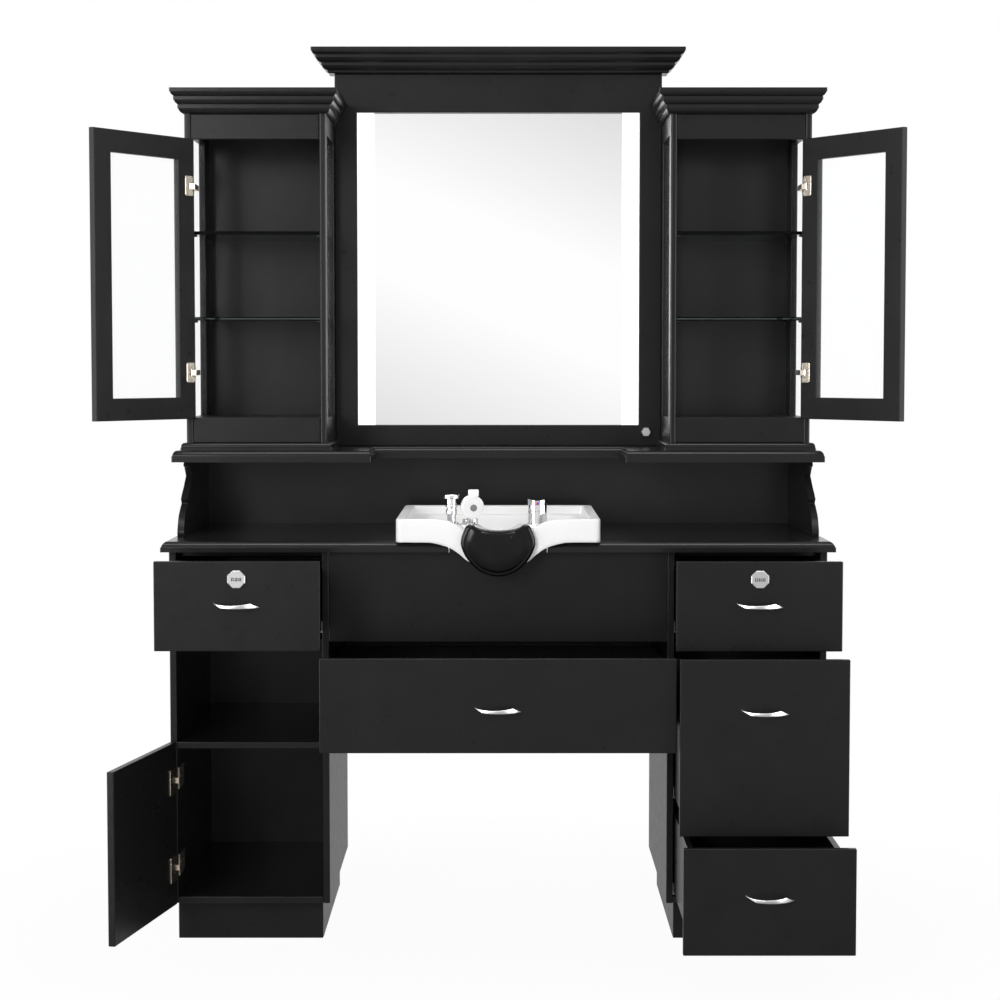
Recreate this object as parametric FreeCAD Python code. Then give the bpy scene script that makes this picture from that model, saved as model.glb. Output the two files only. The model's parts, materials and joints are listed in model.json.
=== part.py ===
import FreeCAD, Part
import math
import os

# A barber's shampoo station: two pedestals, a countertop with a ceramic shampoo bowl, and a hutch with
# a lit mirror between two glazed cabinets.
# Lengths are millimetres. While modelling, X = 0 is the middle plane, Y = 0 is the front plane of the
# pedestals with +Y to the wall, and Z = 0 is the floor. save() moves each piece to the part's origin.

V = FreeCAD.Vector

# Boards and clearances
BOARD = 15.0
EASE = 2.0
GAP = 2.0
RUN = 0.05

# Desk
DEPTH = 585.0
DESK_HALF = 730.0
KNEE_HALF = 376.0
PLINTH_H = 90.0
PLINTH_FRONT = 43.0
PLINTH_OUTER = 721.0
PLINTH_INNER = 395.0
COUNTER_TOP = 903.0
COUNTER_T = 23.0
COUNTER_HALF = 745.5
COUNTER_FRONT = -28.0
COUNTER_LIP = 10.5
COUNTER_SLOPE = 12.0
UNDER = COUNTER_TOP - COUNTER_T
PANEL = 9.0
QUIRK = 1.8
BULGE = 1.4
LIP_CORNER = 2.5
APRON_Z = 678.0
NICHE_Z = 454.0
DIVIDER_Z = 684.0
RAIL_W = 60.0

# Drawers: closed, each front stands GAP in front of the pedestals
FRONT_T = 15.0
FRONT_HALF = 176.0
PED_X = (DESK_HALF + KNEE_HALF) / 2.0
SIDE_GAP = 3.0
BOX_DEPTH = 520.0
BOX_T = 12.0
BOTTOM_T = 6.0
BOTTOM_UP = 13.0
CHANNEL_W = 18.0
CHANNEL_L = 500.0
SHEET = 1.5
PLAY = 0.7
BAR_L = 480.0
HANDLE_L = 104.0
HANDLE_RISE = 32.0
HANDLE_T = 4.5
HANDLE_H = 11.0
HANDLE_SLANT = 22.0
HANDLE_DIP = 4.0
BOW_STEPS = [k / 10.0 for k in range(11)]
# name: centre x, half width, opening half width, front z0, z1, box z0, z1, pulled out at rest, handle z
DRAWERS = {
    "left_top_drawer": (-PED_X, FRONT_HALF, 162.0, 686.5, 877.5, 702.0, 842.0, 213.0, 785.0),
    "right_top_drawer": (PED_X, FRONT_HALF, 162.0, 686.5, 877.5, 702.0, 842.0, 218.0, 785.0),
    "right_middle_drawer": (PED_X, FRONT_HALF, 162.0, 314.0, 683.5, 330.0, 640.0, 328.0, 575.0),
    "right_bottom_drawer": (PED_X, FRONT_HALF, 162.0, 91.0, 311.0, 112.0, 290.0, 433.0, 211.0),
    "centre_drawer": (0.0, 373.0, KNEE_HALF, 482.5, 681.0, 497.0, 640.0, 293.0, 575.0),
}

# Combination locks on the two top drawers
LOCK_Z = 840.0
LOCK_AF = 37.5
LOCK_T = 8.0
LOCK_R = 12.5
DIAL_R = 5.0
DIAL_W = 5.2
DIAL_PITCH = 7.8
DIAL_DEEP = 4.0
AXLE_R = 1.2
AXLE_HALF = 13.0

# Lower left door, hung on a pin inside its thickness; its free edge overhangs as a finger grip
DOOR_Z = (91.0, 455.5)
DOOR_OVERHANG = 25.0
DOOR_GAP = 2.5
DOOR_OPEN = 101.5
DOOR_PIN = (-DESK_HALF + 4.0, -DOOR_GAP - 9.5)
DOOR_HINGES = (174.0, 370.0)
PIN_R = 2.0

# Hutch
HUTCH_BACK = DEPTH - BOARD
SHELF_Z = 1068.0
TIER_Z = 1094.5
CAB_Z = 1112.0
CAB_FRONT = 250.0
CAB_OUT = 723.5
CAB_IN = 398.0
RAIL_Z = 1171.0
FRIEZE_Z = 1812.0
CAB_TOP = 1870.0
STILE_FRONT = 290.0
STILE_REAR = 496.0
SIDE_TOP = 1825.0
GLASS_T = 4.0
SHELF_T = 8.0
GLASS_SHELVES = (1396.0, 1594.5)
POST_R = 4.5

# Glazed doors, laid over the posts and hung on pins inside their thickness
LEAF_OPEN = 125.0
LEAF_T = 15.0
LEAF_STILE = 53.0
LEAF_RAIL = 50.0
LEAF_X = (-CAB_OUT + 5.5, -CAB_IN)
LEAF_Z = (1168.0, 1811.5)
LEAF_BACK = CAB_FRONT - 2.5
LEAF_PIN = (LEAF_X[0] + 7.5, LEAF_BACK - 8.0)
LEAF_HINGES = (1275.0, 1703.0)

# Mirror section and cornices
MIRROR_FRONT = 540.0
MIRROR_HALF = 344.0
MIRROR_Z = (1146.0, 1906.0)
MIRROR_TOP = 1998.5
LIP = 16.0
REBATE = 9.0
GLASS_M = 5.0
LIGHT_IN = 302.0
BUTTON = (362.0, 1129.0)
BUTTON_AF = 21.0
# z0, z1, projection, lip height, slope width
CAB_CORNICE = (
    (1870.0, 1889.9, 13.5, 8.4, 11.5),
    (1889.9, 1907.8, 22.0, 7.6, 10.6),
    (1907.8, 1926.7, 30.0, 8.4, 10.9),
)
MID_CORNICE = (
    (1998.5, 2005.3, 17.0, 0.8, 5.5),
    (2005.3, 2022.4, 30.0, 6.5, 13.0),
    (2022.4, 2040.0, 43.2, 6.8, 12.2),
    (2040.0, 2057.0, 53.5, 7.5, 8.5),
)

# Bowl and fittings
BOWL_HALF = 225.0
BOWL_Y = (-46.0, 451.0)
BOWL_TOP = 955.0
BOWL_WALL = 22.0
LEDGE_Z = 935.0
BOWL_FLOOR = 775.0
BOWL_BOTTOM = 760.0
SKIRT_T = 16.0
DRAIN = (0.0, 285.0)
TAP_Y = 50.0
BREAKER_X = -104.0
SPRAY_X = -58.0
MIXER_X = 88.0
MIXER_LIFT = 12.0
MIXER_PIN = (35.0, 972.0)
PAD_BACK = -46.0
PAD_T = 24.0

# The origin is the middle of the resting object's floor rectangle
REACH = DRAWERS["right_bottom_drawer"][7] + GAP + FRONT_T + HANDLE_RISE
SHIFT = V(0, (REACH - DEPTH) / 2.0, 0)
Z_AXIS = V(0, 0, 1)


def save(name, solids):
    """Write one node's solids, moved to the part's origin."""
    shape = Part.makeCompound(solids) if len(solids) > 1 else solids[0]
    shape.translate(SHIFT)
    shape.exportStep("parts/" + name + ".step")


def box(x0, x1, y0, y1, z0, z1):
    return Part.makeBox(x1 - x0, y1 - y0, z1 - z0, V(x0, y0, z0))


def eased(x0, x1, y0, y1, z0, z1, ease=EASE):
    """Board with every arris rounded a little."""
    shape = box(x0, x1, y0, y1, z0, z1)
    return shape.makeFillet(ease, shape.Edges)


def rod(radius, start, end):
    """Round bar between two points."""
    direction = end - start
    return Part.makeCylinder(radius, direction.Length, start, direction)


def mirrored(solids):
    return [s.mirror(V(0, 0, 0), V(1, 0, 0)) for s in solids]


def both(solids):
    return solids + mirrored(solids)


def turned(solids, axis, angle):
    """Copies turned about a vertical axis at (x, y)."""
    out = [s.copy() for s in solids]
    for s in out:
        s.rotate(V(axis[0], axis[1], 0), Z_AXIS, angle)
    return out


def joined(first, others):
    return first.multiFuse(others).removeSplitter()


def prism(points, start, push):
    """Closed polygon of (x, z) points at y = start, pushed along Y."""
    corners = [V(x, start, z) for x, z in points]
    return Part.Face(Part.makePolygon(corners + corners[:1])).extrude(V(0, push, 0))


def polygon(x, z, flats, count, start):
    """Corners (x, z) of a regular polygon given by its width across flats."""
    corner = flats / 2.0 / math.cos(math.pi / count)
    angles = [start + 2.0 * math.pi * k / count for k in range(count)]
    return [(x + corner * math.cos(a), z + corner * math.sin(a)) for a in angles]


def moulding(z0, z1, lip, slope, hanging):
    """Edge profile as (inset, z) points: a square lip, a small quirk and a slightly bulging slope."""
    at = z0 + lip
    crown = ((QUIRK + slope) / 2.0 - BULGE, (at + z1) / 2.0 + BULGE)
    steps = ((0.0, z0), (0.0, at), (QUIRK, at), crown, (slope, z1))
    if hanging:
        return [(inset, z0 + z1 - z) for inset, z in steps]
    return list(steps)


def moulded_face(profile, low, high, both_ends, place):
    """Section of a board with the profile at its low side, and at its high side too if both_ends."""
    edges = []
    sides = [[place(low + inset, z) for inset, z in profile]]
    if both_ends:
        sides.append([place(high - inset, z) for inset, z in profile])
    else:
        sides.append([place(high, profile[0][1]), place(high, profile[-1][1])])
    for points in sides:
        if len(points) == 5:
            edges.append(Part.makeLine(points[0], points[1]))
            edges.append(Part.makeLine(points[1], points[2]))
            edges.append(Part.Arc(points[2], points[3], points[4]).toShape())
        else:
            edges.append(Part.makeLine(points[0], points[1]))
    edges.append(Part.makeLine(sides[0][0], sides[1][0]))
    edges.append(Part.makeLine(sides[0][-1], sides[1][-1]))
    return Part.Face(Part.Wire(Part.__sortEdges__(edges)))


def moulded(x0, x1, y0, y1, z0, z1, lip, slope, hanging=False):
    """Board with a moulded front and ends, mitred at the corners; hanging puts the lip on top."""
    profile = moulding(z0, z1, lip, slope, hanging)
    front = moulded_face(profile, y0, y1, False, lambda y, z: V(x0, y, z)).extrude(V(x1 - x0, 0, 0))
    ends = moulded_face(profile, x0, x1, True, lambda x, z: V(x, y0, z)).extrude(V(0, y1 - y0, 0))
    shape = front.common(ends).Solids[0]
    corners = [e for e in shape.Edges if is_upright(e) and abs(e.CenterOfMass.y - y0) < 0.01]
    return shape.makeFillet(LIP_CORNER, corners)


def is_upright(edge):
    return edge.BoundBox.XLength < 0.01 and edge.BoundBox.YLength < 0.01


def on_any(value, places):
    return any(abs(value - p) < 0.01 for p in places)


def ring_members(x0, x1, y0, y1, z0, z1, stile, rail):
    """Rectangular frame with eased arrises, split into two stiles and two rails."""
    inner = (x0 + stile, x1 - stile, z0 + rail, z1 - rail)
    frame = box(x0, x1, y0, y1, z0, z1).cut(box(inner[0], inner[1], y0, y1, inner[2], inner[3]))
    flat = [e for e in frame.Edges if e.BoundBox.YLength < 0.01]
    frame = frame.makeFillet(EASE, flat)
    return split_frame(frame, x0, x1, y0, y1, z0, z1, inner)


def split_frame(frame, x0, x1, y0, y1, z0, z1, inner):
    regions = (
        box(x0, inner[0], y0, y1, z0, z1),
        box(inner[1], x1, y0, y1, z0, z1),
        box(inner[0], inner[1], y0, y1, z0, inner[2]),
        box(inner[0], inner[1], y0, y1, inner[3], z1),
    )
    return [frame.common(r).Solids[0] for r in regions]


# Desk


def pedestal_sides():
    outer = eased(-DESK_HALF, -DESK_HALF + BOARD, 0, DEPTH, PLINTH_H, UNDER)
    inner = eased(-KNEE_HALF - BOARD, -KNEE_HALF, 0, DEPTH, PLINTH_H, UNDER)
    return both([outer, inner])


def pedestal_decks():
    x0, x1, back = -DESK_HALF + BOARD, -KNEE_HALF - BOARD, DEPTH - PANEL
    deck = eased(x0, x1, 0, back, PLINTH_H, PLINTH_H + BOARD)
    front_rail = box(x0, x1, RAIL_W, 2.0 * RAIL_W, UNDER - BOARD, UNDER)
    back_rail = box(x0, x1, back - RAIL_W, back, UNDER - BOARD, UNDER)
    niche = eased(x0, x1, 0, back, NICHE_Z - BOARD, NICHE_Z)
    divider = eased(x0, x1, 0, back, DIVIDER_Z - BOARD, DIVIDER_Z)
    return both([deck, front_rail, back_rail]) + [niche, divider]


def desk_back_panels():
    x0, x1 = -DESK_HALF + BOARD, -KNEE_HALF - BOARD
    pedestal = box(x0, x1, DEPTH - PANEL, DEPTH, PLINTH_H, UNDER)
    centre = box(-KNEE_HALF, KNEE_HALF, DEPTH - PANEL, DEPTH, 482.0, UNDER)
    return both([pedestal]) + [centre]


def plinth_boards():
    back = DEPTH - 20.0
    front_board = eased(-PLINTH_OUTER, -PLINTH_INNER, PLINTH_FRONT, PLINTH_FRONT + BOARD, 0, PLINTH_H)
    back_board = box(-PLINTH_OUTER, -PLINTH_INNER, back - BOARD, back, 0, PLINTH_H)
    ends = []
    for x in (-PLINTH_OUTER, -PLINTH_INNER - BOARD):
        ends.append(box(x, x + BOARD, PLINTH_FRONT + BOARD, back - BOARD, 0, PLINTH_H))
    return both([front_board, back_board] + ends)


def countertop():
    half = COUNTER_HALF
    top = moulded(-half, half, COUNTER_FRONT, DEPTH, UNDER, COUNTER_TOP, COUNTER_LIP, COUNTER_SLOPE)
    return top.cut(box(-208, 208, 30, 436, UNDER, COUNTER_TOP))


def runner_channel(wall_x, z, way):
    """Undermount outer member: flange on the wall, web under the drawer side, channel under its bottom."""
    near = SIDE_GAP + BOX_T + 2.0
    far = near + CHANNEL_W
    low = z - 3.0
    flange = box(0, SHEET, 5, 5 + CHANNEL_L, low, low + 25.0)
    web = box(0, far, 5, 5 + CHANNEL_L, low, low + SHEET)
    walls = [box(x, x + SHEET, 5, 5 + CHANNEL_L, low, z + 8.0) for x in (near, far - SHEET)]
    channel = joined(web, [flange] + walls)
    if way < 0:
        channel = mirrored([channel])[0]
    channel.translate(V(wall_x, 0, 0))
    return channel


def runner_channels():
    out = []
    for cx, half, opening, z0, z1, b0, b1, pulled, hz in DRAWERS.values():
        for way in (1, -1):
            out.append(runner_channel(cx - way * opening, b0, way))
    return out


# Drawers, built closed and pulled out by their resting distance


def drawer_boards(cx, half, opening, z0, z1, b0, b1, lock):
    back_y = -GAP
    front = eased(cx - half, cx + half, back_y - FRONT_T, back_y, z0, z1)
    if lock:
        front = front.cut(rod(LOCK_R + RUN, V(cx, back_y - FRONT_T, LOCK_Z), V(cx, back_y, LOCK_Z)))
    w = opening - SIDE_GAP
    end = back_y + BOX_DEPTH
    floor = b0 + BOTTOM_UP
    left = box(cx - w, cx - w + BOX_T, back_y, end, b0, b1)
    right = box(cx + w - BOX_T, cx + w, back_y, end, b0, b1)
    rear = box(cx - w + BOX_T, cx + w - BOX_T, end - BOX_T, end, floor, b1)
    bottom = box(cx - w + BOX_T, cx + w - BOX_T, back_y, end - BOX_T, floor, floor + BOTTOM_T)
    return [front, left, right, rear, bottom]


def drawer_bars(cx, opening, b0):
    """Inner runner members: bars under the bottom that slide in the channels."""
    near = SIDE_GAP + BOX_T + 2.0 + SHEET + PLAY
    far = near + CHANNEL_W - 2.0 * (SHEET + PLAY)
    out = []
    for way in (1, -1):
        wall = cx - way * opening
        x0, x1 = sorted((wall + way * near, wall + way * far))
        out.append(box(x0, x1, 8, 8 + BAR_L, b0 - 3.0 + SHEET + PLAY, b0 + BOTTOM_UP))
    return out


def bow_handle(cx, face_y, z):
    """Flat bow on an arc through its two feet, its ends cut on the slant and its top edge hollowed."""
    half = HANDLE_L / 2.0
    radius = (half * half + HANDLE_RISE * HANDLE_RISE) / (2.0 * HANDLE_RISE)
    centre = V(cx, face_y + radius - HANDLE_RISE, z - HANDLE_H / 2.0)
    bow = Part.makeCylinder(radius, HANDLE_H, centre)
    bow = bow.cut(Part.makeCylinder(radius - HANDLE_T, HANDLE_H, centre))
    low, high = z - HANDLE_H / 2.0, z + HANDLE_H / 2.0
    top = 2.0 * half - HANDLE_SLANT
    outline = [(cx - half + top * t, high - 4.0 * HANDLE_DIP * t * (1.0 - t)) for t in BOW_STEPS]
    outline += [(cx + half, low), (cx - half + HANDLE_SLANT, low)]
    return bow.common(prism(outline, face_y, -HANDLE_RISE)).Solids[0]


def lock_knob(cx, face_y):
    """Octagonal knob with a barrel through the drawer front, dial slots, dial axle and a cam."""
    front = face_y - LOCK_T - 0.3
    outline = polygon(cx, LOCK_Z, LOCK_AF, 8, math.pi / 8.0)
    knob = prism(outline, front, LOCK_T)
    rim = [e for e in knob.Edges if abs(e.CenterOfMass.y - front) < 0.01]
    knob = knob.makeChamfer(1.5, rim)
    barrel = rod(LOCK_R, V(cx, front + 4.0, LOCK_Z), V(cx, face_y + FRONT_T + 0.8, LOCK_Z))
    cam = box(cx - 6.0, cx + 22.0, face_y + FRONT_T + 0.5, face_y + FRONT_T + 3.5, LOCK_Z - 6.0, LOCK_Z + 6.0)
    knob = joined(knob, [barrel, cam])
    axle_y = front + DIAL_DEEP
    wide = DIAL_W / 2.0 + 0.3
    for x in dial_places(cx):
        knob = knob.cut(rod(DIAL_R + 0.4, V(x - wide, axle_y, LOCK_Z), V(x + wide, axle_y, LOCK_Z)))
    axle = rod(AXLE_R, V(cx - AXLE_HALF, axle_y, LOCK_Z), V(cx + AXLE_HALF, axle_y, LOCK_Z))
    return knob.fuse(axle).removeSplitter()


def dial_places(cx):
    return [cx - DIAL_PITCH, cx, cx + DIAL_PITCH]


def lock_dial(x, face_y):
    axle_y = face_y - LOCK_T - 0.3 + DIAL_DEEP
    a, b = V(x - DIAL_W / 2.0, axle_y, LOCK_Z), V(x + DIAL_W / 2.0, axle_y, LOCK_Z)
    return rod(DIAL_R, a, b).cut(rod(AXLE_R + RUN, a, b))


def save_drawers():
    for name, (cx, half, opening, z0, z1, b0, b1, pulled, hz) in DRAWERS.items():
        lock = name.endswith("top_drawer")
        pieces = {
            "_boards": drawer_boards(cx, half, opening, z0, z1, b0, b1, lock),
            "_handle": [bow_handle(cx, -GAP - FRONT_T, hz)],
            "_runners": drawer_bars(cx, opening, b0),
        }
        for suffix, solids in pieces.items():
            save(name + suffix, [s.translated(V(0, -pulled, 0)) for s in solids])
        if lock:
            face_y = -GAP - FRONT_T - pulled
            side = name.split("_")[0]
            save(side + "_lock", [lock_knob(cx, face_y)])
            for k, x in enumerate(dial_places(cx)):
                save(side + "_lock_dial_" + str(k + 1), [lock_dial(x, face_y)])


# Doors on pins: each hinge is a pin in the door and a cranked arm with an eye on it


def hinge_room(panel, edge, pin, back, heights, wide):
    """Cut a mortise for each hinge arm and the holes for the pins into a door's hinge side."""
    px, py = pin
    for z in heights:
        panel = panel.cut(box(edge - 1.0, px + wide, py - 4.5, back + 1.0, z - 8.0, z + 8.0))
        panel = panel.cut(rod(PIN_R, V(px, py, z - 20.0), V(px, py, z + 20.0)))
    return panel


def hinge_pins(pin, heights):
    px, py = pin
    return [rod(PIN_R, V(px, py, z - 20.0), V(px, py, z + 20.0)) for z in heights]


def hinge_plate(x0, x1, back, z, tall, notch):
    """Plate with rounded corners and rim on a door's inside face, notched for the hinge arm."""
    plate = box(x0, x1, back, back + 2.0, z - tall / 2.0, z + tall / 2.0)
    plate = plate.makeFillet(4.0, [e for e in plate.Edges if e.BoundBox.YLength > 1.0])
    plate = plate.makeFillet(0.8, [e for e in plate.Edges if e.BoundBox.YMin > back + 1.9])
    return plate.cut(box(x0 - 1.0, notch, back - 1.0, back + 3.0, z - 8.0, z + 8.0))


def hinge_arm(pin, wall, z, reach_y, plate_y, plate_tall, thick):
    """Cabinet side: an eye on the pin, a cranked arm and a plate on the cabinet's side."""
    px, py = pin
    near, far = wall + 0.3, wall + 0.3 + thick
    eye = rod(4.2, V(px, py, z - 6.0), V(px, py, z + 6.0))
    reach = box(px, far, py - 3.0, py + 2.0, z - 6.0, z + 6.0)
    leg = box(near, far, py - 3.0, reach_y, z - 6.0, z + 6.0)
    plate = box(wall, wall + 2.0, plate_y[0], plate_y[1], z - plate_tall / 2.0, z + plate_tall / 2.0)
    arm = joined(eye, [reach, leg, plate])
    return arm.cut(rod(PIN_R + RUN, V(px, py, z - 7.0), V(px, py, z + 7.0)))


def lower_door():
    x0, x1 = -PED_X - FRONT_HALF, -PED_X + FRONT_HALF + DOOR_OVERHANG
    panel = eased(x0, x1, -DOOR_GAP - FRONT_T, -DOOR_GAP, DOOR_Z[0], DOOR_Z[1])
    return hinge_room(panel, x0, DOOR_PIN, -DOOR_GAP, DOOR_HINGES, 18.0)


def lower_door_hinges():
    """Door side of each hinge: the pin, and the plate on the door's inside face."""
    x = DOOR_PIN[0]
    plates = [hinge_plate(x + 1.0, x + 40.0, -DOOR_GAP, z, 58.0, x + 18.0) for z in DOOR_HINGES]
    return hinge_pins(DOOR_PIN, DOOR_HINGES) + plates


# Hutch


# Side outline (y, z) of a scroll bracket from the countertop up: smooth runs that meet in cusps
SCROLL = (
    ((134.7, COUNTER_TOP), (132.6, 914.0), (138.5, 926.0), (150.1, 943.2), (170.8, 957.6), (191.5, 969.2)),
    ((191.5, 969.2), (202.5, 974.3), (192.3, 983.6)),
    ((192.3, 983.6), (213.3, 996.8), (241.2, 1010.7), (268.0, 1027.0), (280.5, 1034.0)),
    ((280.5, 1034.0), (267.5, 1044.4), (257.4, 1053.0), (238.0, 1058.3)),
    ((238.0, 1058.3), (244.5, SHELF_Z)),
    ((244.5, SHELF_Z), (DEPTH, SHELF_Z)),
    ((DEPTH, SHELF_Z), (DEPTH, COUNTER_TOP)),
    ((DEPTH, COUNTER_TOP), (134.7, COUNTER_TOP)),
)


def hutch_brackets():
    edges = []
    for run in SCROLL:
        points = [V(-DESK_HALF, y, z) for y, z in run]
        if len(points) == 2:
            edges.append(Part.makeLine(points[0], points[1]))
        else:
            spline = Part.BSplineCurve()
            spline.interpolate(points)
            edges.append(spline.toShape())
    return both([Part.Face(Part.Wire(edges)).extrude(V(BOARD, 0, 0))])


def hutch_shelf():
    """U-shaped board with one moulded edge, and a second tier under each cabinet."""
    wing = moulded(-755.0, -294.0, 217.5, DEPTH, SHELF_Z, TIER_Z, 14.0, 9.5)
    middle = moulded(-755.0, 755.0, 455.0, DEPTH, SHELF_Z, TIER_Z, 14.0, 9.5)
    tier = moulded(-736.5, -385.5, 236.0, DEPTH, TIER_Z, CAB_Z, 6.5, 6.5)
    tier = tier.cut(box(-CAB_IN, 0, MIRROR_FRONT, DEPTH + 1.0, TIER_Z, CAB_Z))
    return [joined(middle, both([wing]))] + both([tier])


def hutch_back_boards():
    low = box(-DESK_HALF + BOARD, DESK_HALF - BOARD, HUTCH_BACK, DEPTH, COUNTER_TOP, SHELF_Z)
    for x in (-300.0, 300.0):
        low = low.cut(rod(3.0, V(x, DEPTH - 11.0, 985.0), V(x, DEPTH, 985.0)))
    cabinet = box(-CAB_OUT + BOARD, -CAB_IN - BOARD, HUTCH_BACK, DEPTH, CAB_Z, CAB_TOP)
    centre = box(-CAB_IN, CAB_IN, HUTCH_BACK, DEPTH, TIER_Z, MIRROR_TOP)
    return [low, centre] + both([cabinet])


def cabinet_side(x0):
    """Glazed side frame: front post with rounded front arrises, rear stile, two rails."""
    x1 = x0 + BOARD
    post = box(x0, x1, CAB_FRONT, STILE_FRONT, CAB_Z, CAB_TOP)
    fronts = [e for e in post.Edges if is_upright(e) and abs(e.CenterOfMass.y - CAB_FRONT) < 0.01]
    post = post.makeFillet(POST_R, fronts)
    rear = box(x0, x1, STILE_REAR, DEPTH, CAB_Z, CAB_TOP)
    fronts = [e for e in rear.Edges if is_upright(e) and abs(e.CenterOfMass.y - STILE_REAR) < 0.01]
    rear = rear.makeFillet(EASE, fronts)
    low = box(x0, x1, STILE_FRONT, STILE_REAR, CAB_Z, RAIL_Z)
    high = box(x0, x1, STILE_FRONT, STILE_REAR, SIDE_TOP, CAB_TOP)
    return [post, rear, low, high]


def cabinet_sides():
    return both(cabinet_side(-CAB_OUT) + cabinet_side(-CAB_IN - BOARD))


def cabinet_crosspieces():
    x0, x1 = -CAB_OUT + BOARD, -CAB_IN - BOARD
    face = CAB_FRONT + 4.0
    frieze = eased(x0, x1, face, face + BOARD, FRIEZE_Z, CAB_TOP)
    rail = eased(x0, x1, face, face + BOARD, CAB_Z, RAIL_Z)
    floor = box(x0, x1, face + BOARD, HUTCH_BACK, RAIL_Z - BOARD, RAIL_Z)
    top = box(x0, x1, face + BOARD, HUTCH_BACK, CAB_TOP - BOARD, CAB_TOP)
    return both([frieze, rail, floor, top])


def cabinet_panes():
    out = []
    for x0 in (-CAB_OUT, -CAB_IN - BOARD):
        mid = x0 + BOARD / 2.0
        half = GLASS_T / 2.0
        out.append(box(mid - half, mid + half, STILE_FRONT, STILE_REAR, RAIL_Z, SIDE_TOP))
    return both(out)


def glass_shelves():
    x0, x1 = -CAB_OUT + BOARD + 1.0, -CAB_IN - BOARD - 1.0
    return both([eased(x0, x1, 276.0, HUTCH_BACK - 4.0, z, z + SHELF_T, 0.8) for z in GLASS_SHELVES])


def shelf_pins():
    out = []
    for z in GLASS_SHELVES:
        for y in (282.0, 530.0):
            for wall, way in ((-CAB_OUT + BOARD, 1), (-CAB_IN - BOARD, -1)):
                out.append(rod(2.5, V(wall, y, z - 2.5), V(wall + way * 9.0, y, z - 2.5)))
    return both(out)


def cornices():
    """Stepped cornices: moulded boards stacked with growing projections."""
    out = []
    for z0, z1, p, lip, slope in CAB_CORNICE:
        tier = moulded(-CAB_OUT - p, -CAB_IN + p, CAB_FRONT - p, DEPTH, z0, z1, lip, slope, True)
        out.append(tier.cut(box(-CAB_IN, 0, MIRROR_FRONT, DEPTH + 1.0, z0, z1)))
    out = both(out)
    for z0, z1, p, lip, slope in MID_CORNICE:
        out.append(moulded(-CAB_IN - p, CAB_IN + p, MIRROR_FRONT - p, DEPTH, z0, z1, lip, slope, True))
    return out


def mirror_frame():
    """Rebated frame of four members with a bore for the light button's stem."""
    outer = (-CAB_IN, CAB_IN, MIRROR_FRONT, HUTCH_BACK, TIER_Z, MIRROR_TOP)
    inner = (-MIRROR_HALF, MIRROR_HALF, MIRROR_Z[0], MIRROR_Z[1])
    frame = box(*outer).cut(box(inner[0], inner[1], MIRROR_FRONT, HUTCH_BACK, inner[2], inner[3]))
    fronts = [e for e in frame.Edges if abs(e.BoundBox.YMax - MIRROR_FRONT) < 0.01]
    frame = frame.makeFillet(EASE, fronts)
    rebate = box(inner[0] - REBATE, inner[1] + REBATE, MIRROR_FRONT + LIP, HUTCH_BACK, inner[2] - REBATE,
                 inner[3] + REBATE)
    stem = rod(6.0 + RUN, V(BUTTON[0], MIRROR_FRONT, BUTTON[1]), V(BUTTON[0], HUTCH_BACK, BUTTON[1]))
    return split_frame(frame.cut(rebate).cut(stem), *outer, inner)


def mirror_glass():
    y = MIRROR_FRONT + LIP
    z0, z1 = MIRROR_Z[0] - REBATE + 1.0, MIRROR_Z[1] + REBATE - 1.0
    return box(-LIGHT_IN, LIGHT_IN, y, y + GLASS_M, z0, z1)


def mirror_lights():
    """Diffuser bands at both edges of the mirror, and the driver behind it."""
    y = MIRROR_FRONT + LIP
    z0, z1 = MIRROR_Z[0] - REBATE + 1.0, MIRROR_Z[1] + REBATE - 1.0
    band = box(-MIRROR_HALF - REBATE + 1.0, -LIGHT_IN - 0.5, y, y + GLASS_M, z0, z1)
    driver = box(-80.0, 80.0, HUTCH_BACK - 8.0, HUTCH_BACK, 1500.0, 1545.0)
    return both([band]) + [driver]


def light_button():
    """Hexagonal cap on a round stem."""
    x, z = BUTTON
    outline = polygon(x, z, BUTTON_AF, 6, 0.0)
    front = MIRROR_FRONT - 9.5
    cap = prism(outline, front, 7.0)
    rim = [e for e in cap.Edges if abs(e.CenterOfMass.y - front) < 0.01]
    cap = cap.makeChamfer(1.2, rim)
    return joined(cap, [rod(6.0, V(x, front + 3.0, z), V(x, HUTCH_BACK - 3.0, z))])


# Glazed doors, built closed on the left and swung open


def leaf_frame():
    x0, x1 = LEAF_X
    z0, z1 = LEAF_Z
    members = ring_members(x0, x1, LEAF_BACK - LEAF_T, LEAF_BACK, z0, z1, LEAF_STILE, LEAF_RAIL)
    members[0] = hinge_room(members[0], x0, LEAF_PIN, LEAF_BACK, LEAF_HINGES, 14.0)
    return members


def leaf_pane():
    mid = LEAF_BACK - LEAF_T / 2.0
    half = GLASS_T / 2.0
    return box(LEAF_X[0] + LEAF_STILE, LEAF_X[1] - LEAF_STILE, mid - half, mid + half, LEAF_Z[0] + LEAF_RAIL,
               LEAF_Z[1] - LEAF_RAIL)


def leaf_hinges():
    """Door side of each hinge: the pin, and the plate with its cup on the door's inside face."""
    x = LEAF_PIN[0]
    out = hinge_pins(LEAF_PIN, LEAF_HINGES)
    for z in LEAF_HINGES:
        plate = hinge_plate(x - 1.5, x + 24.0, LEAF_BACK, z, 46.0, x + 14.0)
        cup = rod(4.0, V(x + 19.0, LEAF_BACK + 1.0, z), V(x + 19.0, LEAF_BACK + 2.8, z))
        out.append(joined(plate, [cup]))
    return out


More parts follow.
